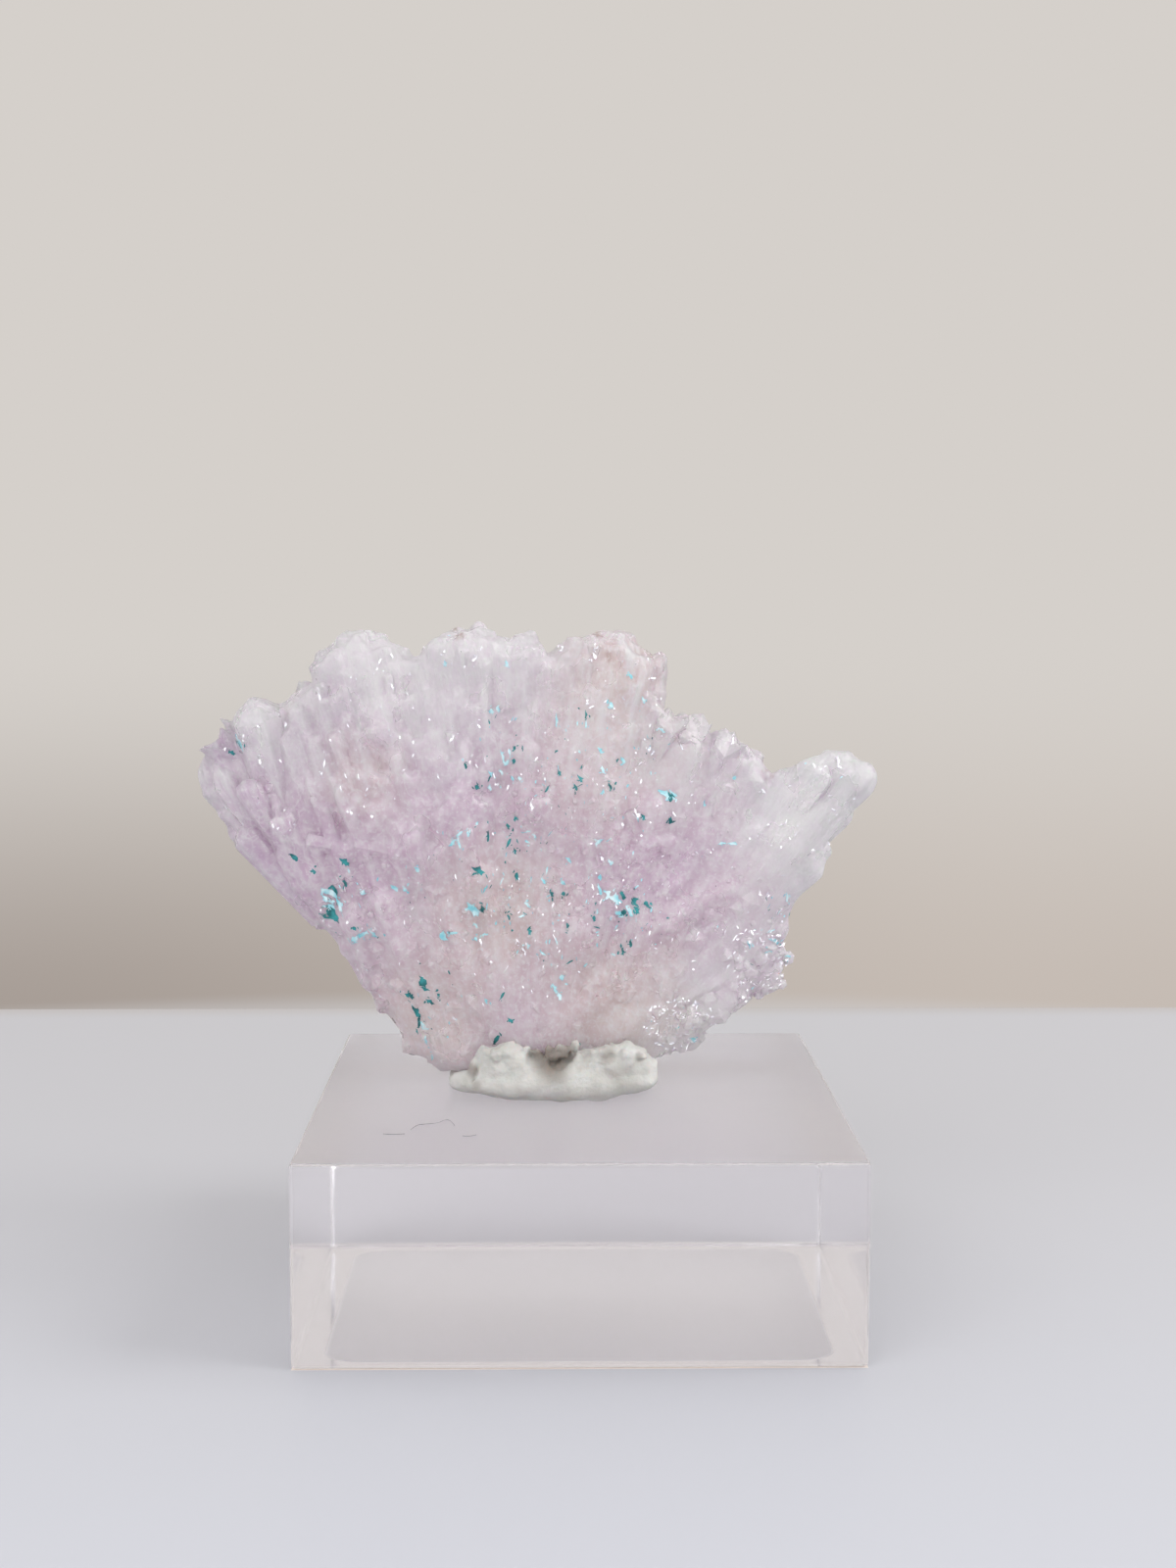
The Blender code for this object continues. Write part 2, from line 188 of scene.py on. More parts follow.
def roughen(obj, kind, size, height, group="", **settings):
    """Low relief from one of Blender's own textures, weighted by a vertex group."""
    texture = bpy.data.textures.new(f"{obj.name}_{kind.lower()}", kind)
    texture.noise_scale = size
    for setting, value in settings.items():
        setattr(texture, setting, value)
    relief = obj.modifiers.new("relief", "DISPLACE")
    relief.texture = texture
    relief.texture_coords = "LOCAL"
    relief.mid_level = 0.5
    relief.strength = height
    relief.vertex_group = group
    apply_modifiers(obj)
    bpy.data.textures.remove(texture)


def fuse(obj, helpers, operation="UNION"):
    """Joins overlapping helpers to the object as one closed skin, or cuts them."""
    group = bpy.data.collections.new("to_fuse")
    bpy.context.scene.collection.children.link(group)
    for helper in helpers:
        group.objects.link(helper)
    union = obj.modifiers.new("fuse", "BOOLEAN")
    union.operation = operation
    union.solver = "MANIFOLD"
    union.operand_type = "COLLECTION"
    union.collection = group
    apply_modifiers(obj)
    for helper in helpers:
        mesh = helper.data
        bpy.data.objects.remove(helper)
        bpy.data.meshes.remove(mesh)
    bpy.data.collections.remove(group)


def round_helper(middle, half, turn):
    """A round lump for joining to a piece or pressing into it."""
    bpy.ops.object.select_all(action="DESELECT")
    bpy.ops.mesh.primitive_ico_sphere_add(subdivisions=3, radius=1)
    lump = bpy.context.active_object
    size = Matrix.Diagonal((*(Vector(half) * MM), 1))
    way = Matrix.Rotation(math.radians(turn), 4, "Z")
    lump.matrix_world = Matrix.Translation(Vector(middle) * MM) @ way @ size
    for group in list(lump.users_collection):
        group.objects.unlink(lump)
    return lump


# The cluster


def model_crystal(name, slenderness, shoulder, tip_height):
    """One six-sided crystal of unit radius, its foot at the origin.

    It widens to its shoulder, steps in once, and ends in a point."""
    bpy.ops.object.select_all(action="DESELECT")
    body = slenderness - tip_height
    bpy.ops.mesh.primitive_cone_add(
        vertices=6, radius1=0.74, radius2=1.0, depth=body, location=(0, 0, body / 2)
    )
    crystal = bpy.context.active_object
    crystal.name = name
    settle(crystal)
    bpy.ops.object.mode_set(mode="EDIT")
    bpy.ops.mesh.select_mode(type="FACE")
    bpy.ops.mesh.select_all(action="DESELECT")
    bpy.ops.object.mode_set(mode="OBJECT")
    for face in crystal.data.polygons:
        face.select = face.normal.z > 0.9
    bpy.ops.object.mode_set(mode="EDIT")
    for rise, size in ((0.5 * tip_height, shoulder), (0.5 * tip_height, 0.3)):
        bpy.ops.mesh.extrude_region_move(TRANSFORM_OT_translate={"value": (0, 0, rise)})
        bpy.ops.transform.resize(value=(size, size, 1))
    bpy.ops.mesh.merge(type="CENTER")
    bpy.ops.object.mode_set(mode="OBJECT")
    for group in list(crystal.users_collection):
        group.objects.unlink(crystal)
    return crystal


def model_broken_crystal(name, heights):
    """A six-sided stub of unit radius, its top broken off at uneven heights."""
    bpy.ops.object.select_all(action="DESELECT")
    tall = max(heights)
    bpy.ops.mesh.primitive_cone_add(
        vertices=len(heights),
        radius1=0.85,
        radius2=1.0,
        depth=tall,
        end_fill_type="TRIFAN",
        location=(0, 0, tall / 2),
    )
    crystal = bpy.context.active_object
    crystal.name = name
    settle(crystal)
    top = [point for point in crystal.data.vertices if point.co.z > tall / 2]
    rim = [point for point in top if point.co.xy.length > 0.5]
    for point in top:
        point.co.z = sum(heights) / len(heights)
    for point, height in zip(rim, heights):
        point.co.z = height
    for group in list(crystal.users_collection):
        group.objects.unlink(crystal)
    return crystal


def plant(pattern, foot, tip, radius, twist):
    """A copy of a modelled crystal from foot to tip."""
    crystal = bpy.data.objects.new(pattern.name + "_copy", pattern.data.copy())
    axis = tip - foot
    length = max(corner[2] for corner in pattern.bound_box)
    turn = axis.to_track_quat("Z", "Y").to_matrix().to_4x4() @ Matrix.Rotation(twist, 4, "Z")
    size = Matrix.Diagonal((radius, radius, axis.length / length, 1))
    crystal.matrix_world = Matrix.Translation(foot) @ turn @ size
    return crystal


def cluster_base():
    """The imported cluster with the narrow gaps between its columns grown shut."""
    base = copy_of_node("amethyst_cluster", "amethyst_flower")
    remesh(base, BASE_VOXEL)
    push_out(base, GAP_FILL)
    remesh(base, BASE_VOXEL)
    push_out(base, -GAP_FILL)
    return base


def fan_direction(angle):
    """Which way a column at this angle on the fan points, flat in its plane."""
    lean = angle * (LEAN_LEFT if angle < 0 else LEAN_RIGHT)
    return Vector((math.sin(lean), 0, math.cos(lean)))


def out_direction(angle):
    return Vector((math.sin(angle), 0, math.cos(angle)))


class Surface:
    """Finds places on a piece's skin."""

    FAR = 200 * MM

    def __init__(self, obj):
        graph = bpy.context.evaluated_depsgraph_get()
        self.tree = BVHTree.FromObject(obj, graph)

    def face(self, x, z, side):
        """The front (side -1) or back (side 1) over this x and z."""
        start = Vector((x, side * self.FAR, z))
        place, normal, _, _ = self.tree.ray_cast(start, Vector((0, -side, 0)))
        return place, normal

    def rim(self, angle, depth):
        """The outermost place at this angle on the fan and this y."""
        out = out_direction(angle)
        start = Vector((GROWTH_CENTRE.x, depth, GROWTH_CENTRE.z)) + out * self.FAR
        place, normal, _, _ = self.tree.ray_cast(start, -out)
        return place, normal

    def holds(self, place):
        """Whether a place is inside the piece."""
        near, normal, _, _ = self.tree.find_nearest(place)
        return (place - near).dot(normal) < 0

    def seen(self, across, down):
        """Where the camera's ray through this pixel meets the skin."""
        place, normal, _, _ = self.tree.ray_cast(CAMERA_PLACE, pixel_ray(across, down))
        return place, normal


# Regions of the fan with columns of their own kind: the angles they span in
# degrees, the shares of the radius, then radius and length in mm, how far the
# tip stands proud in mm, and how far it strays from its course in degrees
COLUMN_REGIONS = (
    (-44, -10, 0.50, 1.0, 0.85, 11.0, 0.10, 2),
    (-10, 12, 0.50, 1.0, 1.30, 8.0, 0.60, 6),
    (12, 46, 0.50, 1.0, 1.45, 8.0, 0.65, 7),
    (46, 66, 0.40, 1.0, 2.00, 12.0, 0.60, 4),
    (-90, -44, 0.30, 1.0, 1.60, 8.0, 0.60, 10),
    (-90, 90, 0.00, 1.0, 1.10, 4.0, 0.45, 16),
)
COLUMN_ANGLES = (-76, 78)
TIER_STEP = 3.0 * MM
TIER_START = 5 * MM
TIER_END = 72 * MM
COLUMN_PACKING = 2.0
STEEPEST = 0.35

# The fan's upper edge seen from the front, as x and z in mm, from the left
# group of crystals over the lobes to the right-hand lobe
UPPER_EDGE = (
    (-42.1, 78.3), (-40.6, 76.0), (-39.0, 80.6), (-35.4, 81.2), (-34.9, 86.1),
    (-31.8, 88.8), (-28.7, 89.1), (-24.2, 86.6), (-22.2, 84.0), (-19.5, 88.4),
    (-13.6, 89.8), (-9.3, 87.6), (-6.5, 89.1), (-4.3, 85.5), (-0.2, 88.4),
    (5.8, 89.3), (9.4, 86.1), (11.2, 84.6), (10.6, 78.0), (16.5, 77.3),
    (18.3, 74.8), (20.4, 75.4), (25.0, 72.4), (26.3, 69.1),
)
EDGE_STEP = 1.9 * MM
EDGE_DEPTHS = (-4.2, -2.1, 0.0, 2.1, 4.2)
EDGE_FALL = 1.7 * MM
EDGE_RADIUS = 1.35 * MM
EDGE_LENGTH = 8 * MM

# The flutes of the first lobe, in pixels of the photograph, then in mm
FLUTE_LEFT = 318
FLUTE_RIGHT = 500
FLUTE_TOP = 668
FLUTE_ROW_STEP = 36
FLUTE_ROWS = 6
FLUTE_STEP = 11.5
FLUTE_LENGTH = 9 * MM
FLUTE_RADIUS = 0.85 * MM

FLANK_ANGLES = ((-112, -84), (66, 112))
FLANK_STEP = 1.5 * MM
FLANK_RADIUS = 0.5 * MM
FLANK_FLOOR = 27 * MM

# Large crystals of the photograph: foot and tip as x, y, z in mm, radius in mm
LARGE_CRYSTALS = (
    # the left group: pale blunt crystal, long edge crystals, a small pale one
    ((-39.5, 0.5, 60.0), (-43.8, -2.6, 79.4), 3.5),
    ((-38.5, 2.0, 55.0), (-48.8, -1.4, 70.6), 2.4),
    ((-35.0, 2.0, 49.0), (-45.6, -0.8, 62.0), 2.4),
    ((-39.0, 0.0, 58.0), (-44.6, -4.4, 68.6), 1.9),
    ((-37.0, 1.0, 57.0), (-39.9, -6.2, 63.6), 1.6),
    # pale ones behind the fluted lobe
    ((-31.0, 7.0, 64.0), (-38.6, 8.2, 81.2), 2.0),
    # a rounded crystal right of the top lobes
    ((12.0, 3.5, 68.0), (17.2, 3.4, 77.0), 2.3),
    # the right-hand lobe
    ((24.0, 1.0, 56.0), (33.4, -1.8, 70.6), 2.6),
    ((26.0, 1.6, 54.0), (37.4, -0.4, 70.8), 2.9),
    ((29.0, 1.6, 56.0), (39.2, 0.8, 69.8), 2.3),
)


# Broken ones at the far left and among the top lobes, in the same way
BROKEN_CRYSTALS = (
    ((-41.0, 2.0, 67.6), (-49.8, -0.6, 74.2), 2.4),
    ((-42.6, 2.8, 68.6), (-47.2, 0.6, 77.4), 1.6),
    ((-40.0, 4.0, 66.6), (-49.0, 5.6, 72.8), 2.4),
    ((9.6, 0.0, 70.0), (13.0, -2.6, 77.6), 2.2),
    ((13.0, 0.5, 69.0), (16.4, -2.0, 76.6), 1.9),
    ((16.0, 1.0, 66.0), (21.2, -2.4, 74.6), 2.2),
)


# Crystals that stand out of the front: the pixels of foot and tip, then the
# radius and how far they stand proud, both in mm
SEEN_CRYSTALS = (
    # leaf-shaped one in the middle, and a small pale one on the left ledge
    ((552, 832), (549, 801), 1.1, 0.7),
    ((303, 850), (294, 824), 1.3, 0.9),
    # pale tips among the top lobes
    ((478, 690), (484, 648), 1.5, 0.7),
    ((462, 770), (459, 744), 0.8, 0.5),
    ((671, 768), (684, 728), 1.7, 0.8),
    ((655, 790), (662, 752), 1.2, 0.7),
    ((602, 690), (607, 656), 1.3, 0.7),
    ((400, 730), (396, 686), 0.9, 0.6),
    ((328, 750), (330, 695), 1.0, 0.6),
    # the ledge on the left, along its lower edge
    ((352, 866), (310, 858), 1.5, 0.6),
    ((400, 870), (360, 860), 1.5, 0.6),
    ((424, 900), (392, 880), 1.4, 0.5),
    # ridges on the right
    ((700, 858), (716, 800), 1.4, 0.5),
    ((724, 850), (744, 796), 1.6, 0.5),
    ((655, 862), (640, 826), 1.2, 0.5),
    ((800, 840), (838, 790), 2.2, 0.6),
)


def seen_crystals(surface, patterns, rng):
    found = []
    for foot_pixel, tip_pixel, radius, proud in SEEN_CRYSTALS:
        foot, _ = surface.seen(*foot_pixel)
        tip, _ = surface.seen(*tip_pixel)
        if foot and tip:
            inward = Vector((0, (0.85 * radius - proud) * MM, 0))
            deeper = Vector((0, radius * MM, 0))
            found.append(plant(rng.choice(patterns), foot + deeper, tip + inward, radius * MM, 0.3))
    return found


def column_kind(degrees, share):
    for first, last, low, high, radius, length, proud, stray in COLUMN_REGIONS:
        if first <= degrees <= last and low <= share <= high:
            return radius * MM, length * MM, proud * MM, math.radians(stray)
    return None


def face_columns(surface, patterns, rng):
    """Slender columns that lie sunk in both faces, tier over tier."""
    found = []
    for side in (-1, 1):
        reach = TIER_START
        while reach < TIER_END:
            angle = math.radians(COLUMN_ANGLES[0] + rng.uniform(0, 3))
            while angle < math.radians(COLUMN_ANGLES[1]):
                rim, _ = surface.rim(angle, GROWTH_CENTRE.y)
                share = reach / (rim - GROWTH_CENTRE).length if rim else 2
                if share > 0.97:
                    angle += EDGE_STEP / reach
                    continue
                radius, length, proud, stray = column_kind(math.degrees(angle), share)
                radius *= rng.uniform(0.7, 1.35)
                spot = GROWTH_CENTRE + out_direction(angle) * (reach + rng.gauss(0, 0.4) * TIER_STEP)
                course = Matrix.Rotation(rng.gauss(0, stray), 3, "Y") @ fan_direction(angle)
                back = spot - course * length * rng.uniform(0.7, 1.1)
                top, normal = surface.face(spot.x, spot.z, side)
                low, low_normal = surface.face(back.x, back.z, side)
                if top and low and min(abs(normal.y), abs(low_normal.y)) > STEEPEST:
                    tip = top + Vector((0, side, 0)) * (proud * rng.uniform(0.1, 1.4) - radius)
                    foot = low - Vector((0, side, 0)) * radius * 1.5
                    found.append(plant(rng.choice(patterns), foot, tip, radius, rng.uniform(0, 1)))
                angle += COLUMN_PACKING * radius / reach * rng.uniform(0.85, 1.2)
            reach += TIER_STEP
    return found


def even_steps(line, step):
    """Points a set distance apart along a line of x and z in mm."""
    for first, second in zip(line, line[1:]):
        start, end = Vector(first) * MM, Vector(second) * MM
        count = max(1, round((end - start).length / step))
        for i in range(count):
            yield start.lerp(end, i / count)


def lobe_flutes(surface, patterns, rng):
    """Thin upright columns side by side down the front of the first lobe."""
    found = []
    for row in range(FLUTE_ROWS):
        across = FLUTE_LEFT
        while across < FLUTE_RIGHT:
            top_down = FLUTE_TOP + (row + rng.uniform(-0.4, 0.4)) * FLUTE_ROW_STEP
            tip, normal = surface.seen(across, top_down)
            if tip is None:
                across += FLUTE_STEP
                continue
            away = tip - GROWTH_CENTRE
            course = fan_direction(math.atan2(away.x, away.z) + rng.gauss(0, 0.03))
            back = tip - course * FLUTE_LENGTH * rng.uniform(0.6, 1.1)
            low, low_normal = surface.face(back.x, back.z, -1)
            if low and min(abs(normal.y), abs(low_normal.y)) > STEEPEST:
                radius = FLUTE_RADIUS * rng.uniform(0.75, 1.2)
                proud = Vector((0, -1, 0)) * (rng.uniform(0.5, 1.2) * radius)
                foot = low + Vector((0, 1, 0)) * radius * 0.9
                pattern = rng.choice(patterns)
                found.append(plant(pattern, foot, tip + proud, radius, rng.uniform(0, 1)))
            across += FLUTE_STEP * rng.uniform(0.85, 1.2)
    return found


def edge_columns(surface, patterns, rng):
    """Rounded tips packed along the fan's upper edge through its thickness."""
    found = []
    for row, depth in enumerate(EDGE_DEPTHS):
        fall = EDGE_FALL * (depth / EDGE_DEPTHS[0]) ** 2
        for place in even_steps(UPPER_EDGE, EDGE_STEP):
            spot = Vector((place.x, GROWTH_CENTRE.y + (depth + rng.uniform(-0.8, 0.8)) * MM, place.y))
            away = spot - GROWTH_CENTRE
            angle = math.atan2(away.x, away.z) + rng.gauss(0, 0.08)
            course = fan_direction(angle)
            radius = EDGE_RADIUS * rng.uniform(0.6, 1.35)
            tip = spot - out_direction(angle) * (fall + rng.uniform(0, 0.9) * MM)
            foot = tip - course * EDGE_LENGTH * rng.uniform(0.7, 1.1)
            if surface.holds(foot):
                found.append(plant(rng.choice(patterns), foot, tip, radius, rng.uniform(0, 1)))
    return found


def flank_druse(surface, patterns, rng):
    """Small sharp crystals crowded down the two lower edges."""
    found = []
    for first, last in FLANK_ANGLES:
        for row in range(7):
            depth = GROWTH_CENTRE.y + (row - 3) * 2.0 * MM
            angle = math.radians(first) + row % 2 * 0.02
            while angle < math.radians(last):
                place, normal = surface.rim(angle, depth + rng.uniform(-0.8, 0.8) * MM)
                if place is None:
                    angle += 0.05
                    continue
                radius = FLANK_RADIUS * rng.uniform(0.6, 1.5)
                lean = Vector((rng.gauss(0, 0.3), rng.gauss(0, 0.3), rng.gauss(0, 0.3)))
                course = (normal + 0.4 * out_direction(angle) + lean).normalized()
                tip = place + course * radius * rng.uniform(0.3, 1.0)
                foot = place - course * radius * 2.2
                if tip.z > FLANK_FLOOR:
                    found.append(plant(rng.choice(patterns), foot, tip, radius, rng.uniform(0, 1)))
                away = max((place - GROWTH_CENTRE).length, 8 * MM)
                angle += FLANK_STEP * rng.uniform(0.8, 1.2) / away
    return found


def placed_crystals(places, patterns, rng):
    """The crystals at the listed places."""
    found = []
    for foot, tip, radius in places:
        foot, tip = Vector(foot) * MM, Vector(tip) * MM
        found.append(plant(rng.choice(patterns), foot, tip, radius * MM, rng.uniform(0, 1)))
    return found


# Where the rim is worn back to the photograph's edge: middle and half sizes in
# mm, and a turn about the upright axis in degrees
RIM_HOLLOWS = (
    ((35.6, 2.0, 75.0), (4.2, 10, 3.2), 0),
    ((-50.6, 2.0, 76.0), (3.6, 10, 3.4), 0),
)

# Large crystals grown over each other, of which only a ridge or a face shows:
# angles on the fan in degrees, shares of the radius, count on each face, and
# radius in mm
PLATES = (
    (-88, -48, 0.25, 0.95, 14, 2.2),
    (-48, 40, 0.12, 0.55, 20, 2.6),
    (0, 40, 0.50, 0.85, 9, 2.0),
    (40, 62, 0.25, 0.85, 12, 2.8),
    (62, 90, 0.25, 0.90, 10, 2.0),
)
PLATE_SHOWS = (0.3, 0.9)
PLATE_LEAN = 0.55


def sunk_plates(surface, patterns, rng):
    """Crystals sunk in both faces up to their last edge."""
    found = []
    for side in (-1, 1):
        for first, last, low_share, high_share, count, size in PLATES:
            for _ in range(count):
                angle = math.radians(rng.uniform(first, last))
                rim, _ = surface.rim(angle, GROWTH_CENTRE.y)
                if rim is None:
                    continue
                reach = (rim - GROWTH_CENTRE).length * rng.uniform(low_share, high_share)
                spot = GROWTH_CENTRE + out_direction(angle) * reach
                radius = size * rng.uniform(0.6, 1.2) * MM
                course = Matrix.Rotation(rng.gauss(0, PLATE_LEAN), 3, "Y") @ fan_direction(angle)
                back = spot - course * radius * rng.uniform(1.8, 3.2)
                top, normal = surface.face(spot.x, spot.z, side)
                low, low_normal = surface.face(back.x, back.z, side)
                if top and low and min(abs(normal.y), abs(low_normal.y)) > STEEPEST:
                    inward = Vector((0, -side, 0))
                    tip = top + inward * (0.85 * radius - rng.uniform(*PLATE_SHOWS) * MM)
                    foot = low + inward * 1.1 * radius
                    found.append(plant(rng.choice(patterns), foot, tip, radius, rng.uniform(0, 1)))
    return found


# Places with a crust of small sharp crystals on the front: the pixel at the
# middle, the half widths across and down in pixels, how many crystals, and
# their radius in mm
DRUSE = (
    ((774, 985), (34, 44), 46, 0.95),
    ((695, 1046), (38, 28), 36, 0.7),
    ((660, 1000), (40, 24), 20, 0.5),
    ((292, 842), (10, 16), 9, 1.0),
    ((712, 742), (26, 18), 16, 0.8),
    ((258, 800), (22, 40), 16, 0.9),
    ((560, 890), (110, 110), 130, 0.42),
    ((690, 900), (110, 90), 90, 0.45),
    ((370, 920), (60, 60), 60, 0.5),
    ((430, 1010), (50, 50), 40, 0.45),
)


def front_druse(surface, patterns, rng):
    """Small crystals that lie in every direction in a crust on the front."""
    found = []
    for (across, down), (half_width, half_height), count, size in DRUSE:
        for _ in range(count):
            spread, turn = math.sqrt(rng.random()), rng.uniform(0, 2 * math.pi)
            place, normal = surface.seen(
                across + half_width * spread * math.cos(turn),
                down + half_height * spread * math.sin(turn),
            )
            if place:
                found += druse_crystal(place, normal, size, patterns, rng)
    return found


def druse_crystal(place, normal, size, patterns, rng):
    """A list of one small crystal, or of none where it would lie too flat."""
    radius = size * rng.uniform(0.4, 1.2) * MM
    lean = Vector((rng.gauss(0, 1), rng.gauss(0, 1), rng.gauss(0, 1)))
    course = (0.6 * normal + lean).normalized()
    if course.dot(normal) < 0.1:
        return []
    tip = place + course * radius * rng.uniform(0.5, 1.1)
    foot = place - course * radius * 2.0
    return [plant(rng.choice(patterns), foot, tip, radius, rng.uniform(0, 1))]


# What the unseen back carries: small crystals, their radius in mm, and teal,
# pale and frost-white flecks, the frost-white ones partly white fractures and partly painted glints
BACK_DRUSE = 150
BACK_DRUSE_SIZE = 0.7
BACK_FLECKS = {"teal_flecks": 22, "pale_flecks": 46, "frost_and_glint_flecks": 60}


def back_spots(surface, count, rng):
    """Places scattered over the back, with their normals."""
    for _ in range(count):
        angle = math.radians(rng.uniform(*COLUMN_ANGLES))
        rim, _ = surface.rim(angle, GROWTH_CENTRE.y)
        if rim:
            spot = GROWTH_CENTRE.lerp(rim, math.sqrt(rng.uniform(0.05, 0.95)))
            place, normal = surface.face(spot.x, spot.z, 1)
            if place:
                yield place, normal


def back_druse(surface, patterns, rng):
    found = []
    for place, normal in back_spots(surface, BACK_DRUSE, rng):
        found += druse_crystal(place, normal, BACK_DRUSE_SIZE, patterns, rng)
    return found


def make_cluster():
    """The whole flower of crystals as one closed skin."""
    rng = random.Random(SEED)
    slender = model_crystal("slender_crystal", 8.0, 0.62, 1.2)
    blunt = model_crystal("blunt_crystal", 7.0, 0.78, 0.8)
    stout = model_crystal("stout_crystal", 3.4, 0.6, 1.1)
    broken = model_broken_crystal("broken_crystal", (3.4, 3.9, 3.3, 4.1, 3.0, 3.2))
    cluster = cluster_base()
    surface = Surface(cluster)
    columns = face_columns(surface, (blunt, slender), rng)
    columns += edge_columns(surface, (blunt,), rng)
    columns += lobe_flutes(surface, (blunt, slender), rng)
    fuse(cluster, columns)
    fuse(cluster, [round_helper(*hollow) for hollow in RIM_HOLLOWS], "DIFFERENCE")
    remesh(cluster, SKIN_VOXEL)
    smooth(cluster, 2)
    roughen(cluster, "CLOUDS", 5 * MM, 0.6 * MM, noise_depth=1)
    surface = Surface(cluster)
    crystals = placed_crystals(LARGE_CRYSTALS, (blunt, slender), rng)
    crystals += placed_crystals(BROKEN_CRYSTALS, (broken,), rng)
    crystals += sunk_plates(surface, (stout,), rng)
    crystals += seen_crystals(surface, (blunt,), rng)
    crystals += flank_druse(surface, (stout,), rng)
    crystals += front_druse(surface, (stout, blunt), rng)
    crystals += back_druse(surface, (stout, blunt), rng)
    fuse(cluster, crystals)
    for pattern in (slender, blunt, stout, broken):
        bpy.data.objects.remove(pattern)
    finish_with(cluster, amethyst_material())
    only(cluster)
    bpy.ops.object.shade_smooth_by_angle(angle=math.radians(36))
    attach(cluster, "root")
    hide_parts("amethyst_cluster")
    return cluster


# Flecks on the cluster


# Each fleck runs from one pixel of the photograph to another, and the last
# number is its width in mm
TEAL_FLECKS = (
    (498, 849, 498, 859, 0.35), (484, 886, 492, 890, 0.9), (492, 924, 493, 931, 0.5),
    (540, 948, 541, 953, 0.5), (526, 831, 526, 837, 0.4), (518, 841, 519, 846, 0.45),
    (522, 853, 516, 867, 0.3), (525, 866, 526, 871, 0.35), (527, 889, 527, 899, 0.4),
    (562, 910, 564, 914, 0.5), (574, 910, 576, 914, 0.4), (518, 934, 520, 938, 0.35),
    (634, 911, 637, 917, 0.5), (646, 918, 648, 922, 0.6), (649, 927, 651, 931, 0.6),
    (658, 920, 660, 924, 0.5), (636, 929, 637, 933, 0.6), (579, 942, 579, 949, 0.35),
    (606, 934, 606, 940, 0.35), (643, 960, 644, 966, 0.4), (635, 968, 636, 974, 0.35),
    (429, 1000, 434, 1006, 0.9), (415, 1014, 421, 1017, 0.8), (436, 1020, 442, 1024, 0.5),
    (446, 1013, 449, 1018, 0.5), (422, 1028, 427, 1036, 0.9), (427, 1038, 428, 1048, 0.4),
    (516, 1010, 509, 1022, 0.25), (519, 1040, 523, 1043, 0.4), (510, 1054, 503, 1067, 0.45),
    (585, 1065, 592, 1065, 0.4), (598, 725, 598, 734, 0.3), (590, 791, 594, 798, 0.4),
    (586, 801, 589, 806, 0.35), (570, 786, 572, 791, 0.35), (621, 800, 624, 805, 0.35),
    (560, 802, 556, 809, 0.3), (682, 810, 685, 817, 0.6), (684, 835, 684, 840, 0.5),
    (655, 831, 658, 836, 0.4), (525, 761, 525, 766, 0.3), (524, 774, 525, 779, 0.35),
    (484, 803, 489, 804, 0.5), (474, 779, 476, 784, 0.35), (334, 926, 342, 936, 1.0),
    (328, 934, 346, 937, 0.9), (340, 905, 344, 912, 0.6), (243, 757, 246, 763, 0.4),
    (235, 767, 239, 769, 0.5), (349, 877, 354, 881, 0.8), (298, 873, 303, 877, 0.6),
    (350, 898, 354, 904, 0.5), (319, 888, 321, 891, 0.4), (360, 946, 363, 949, 0.4),
)
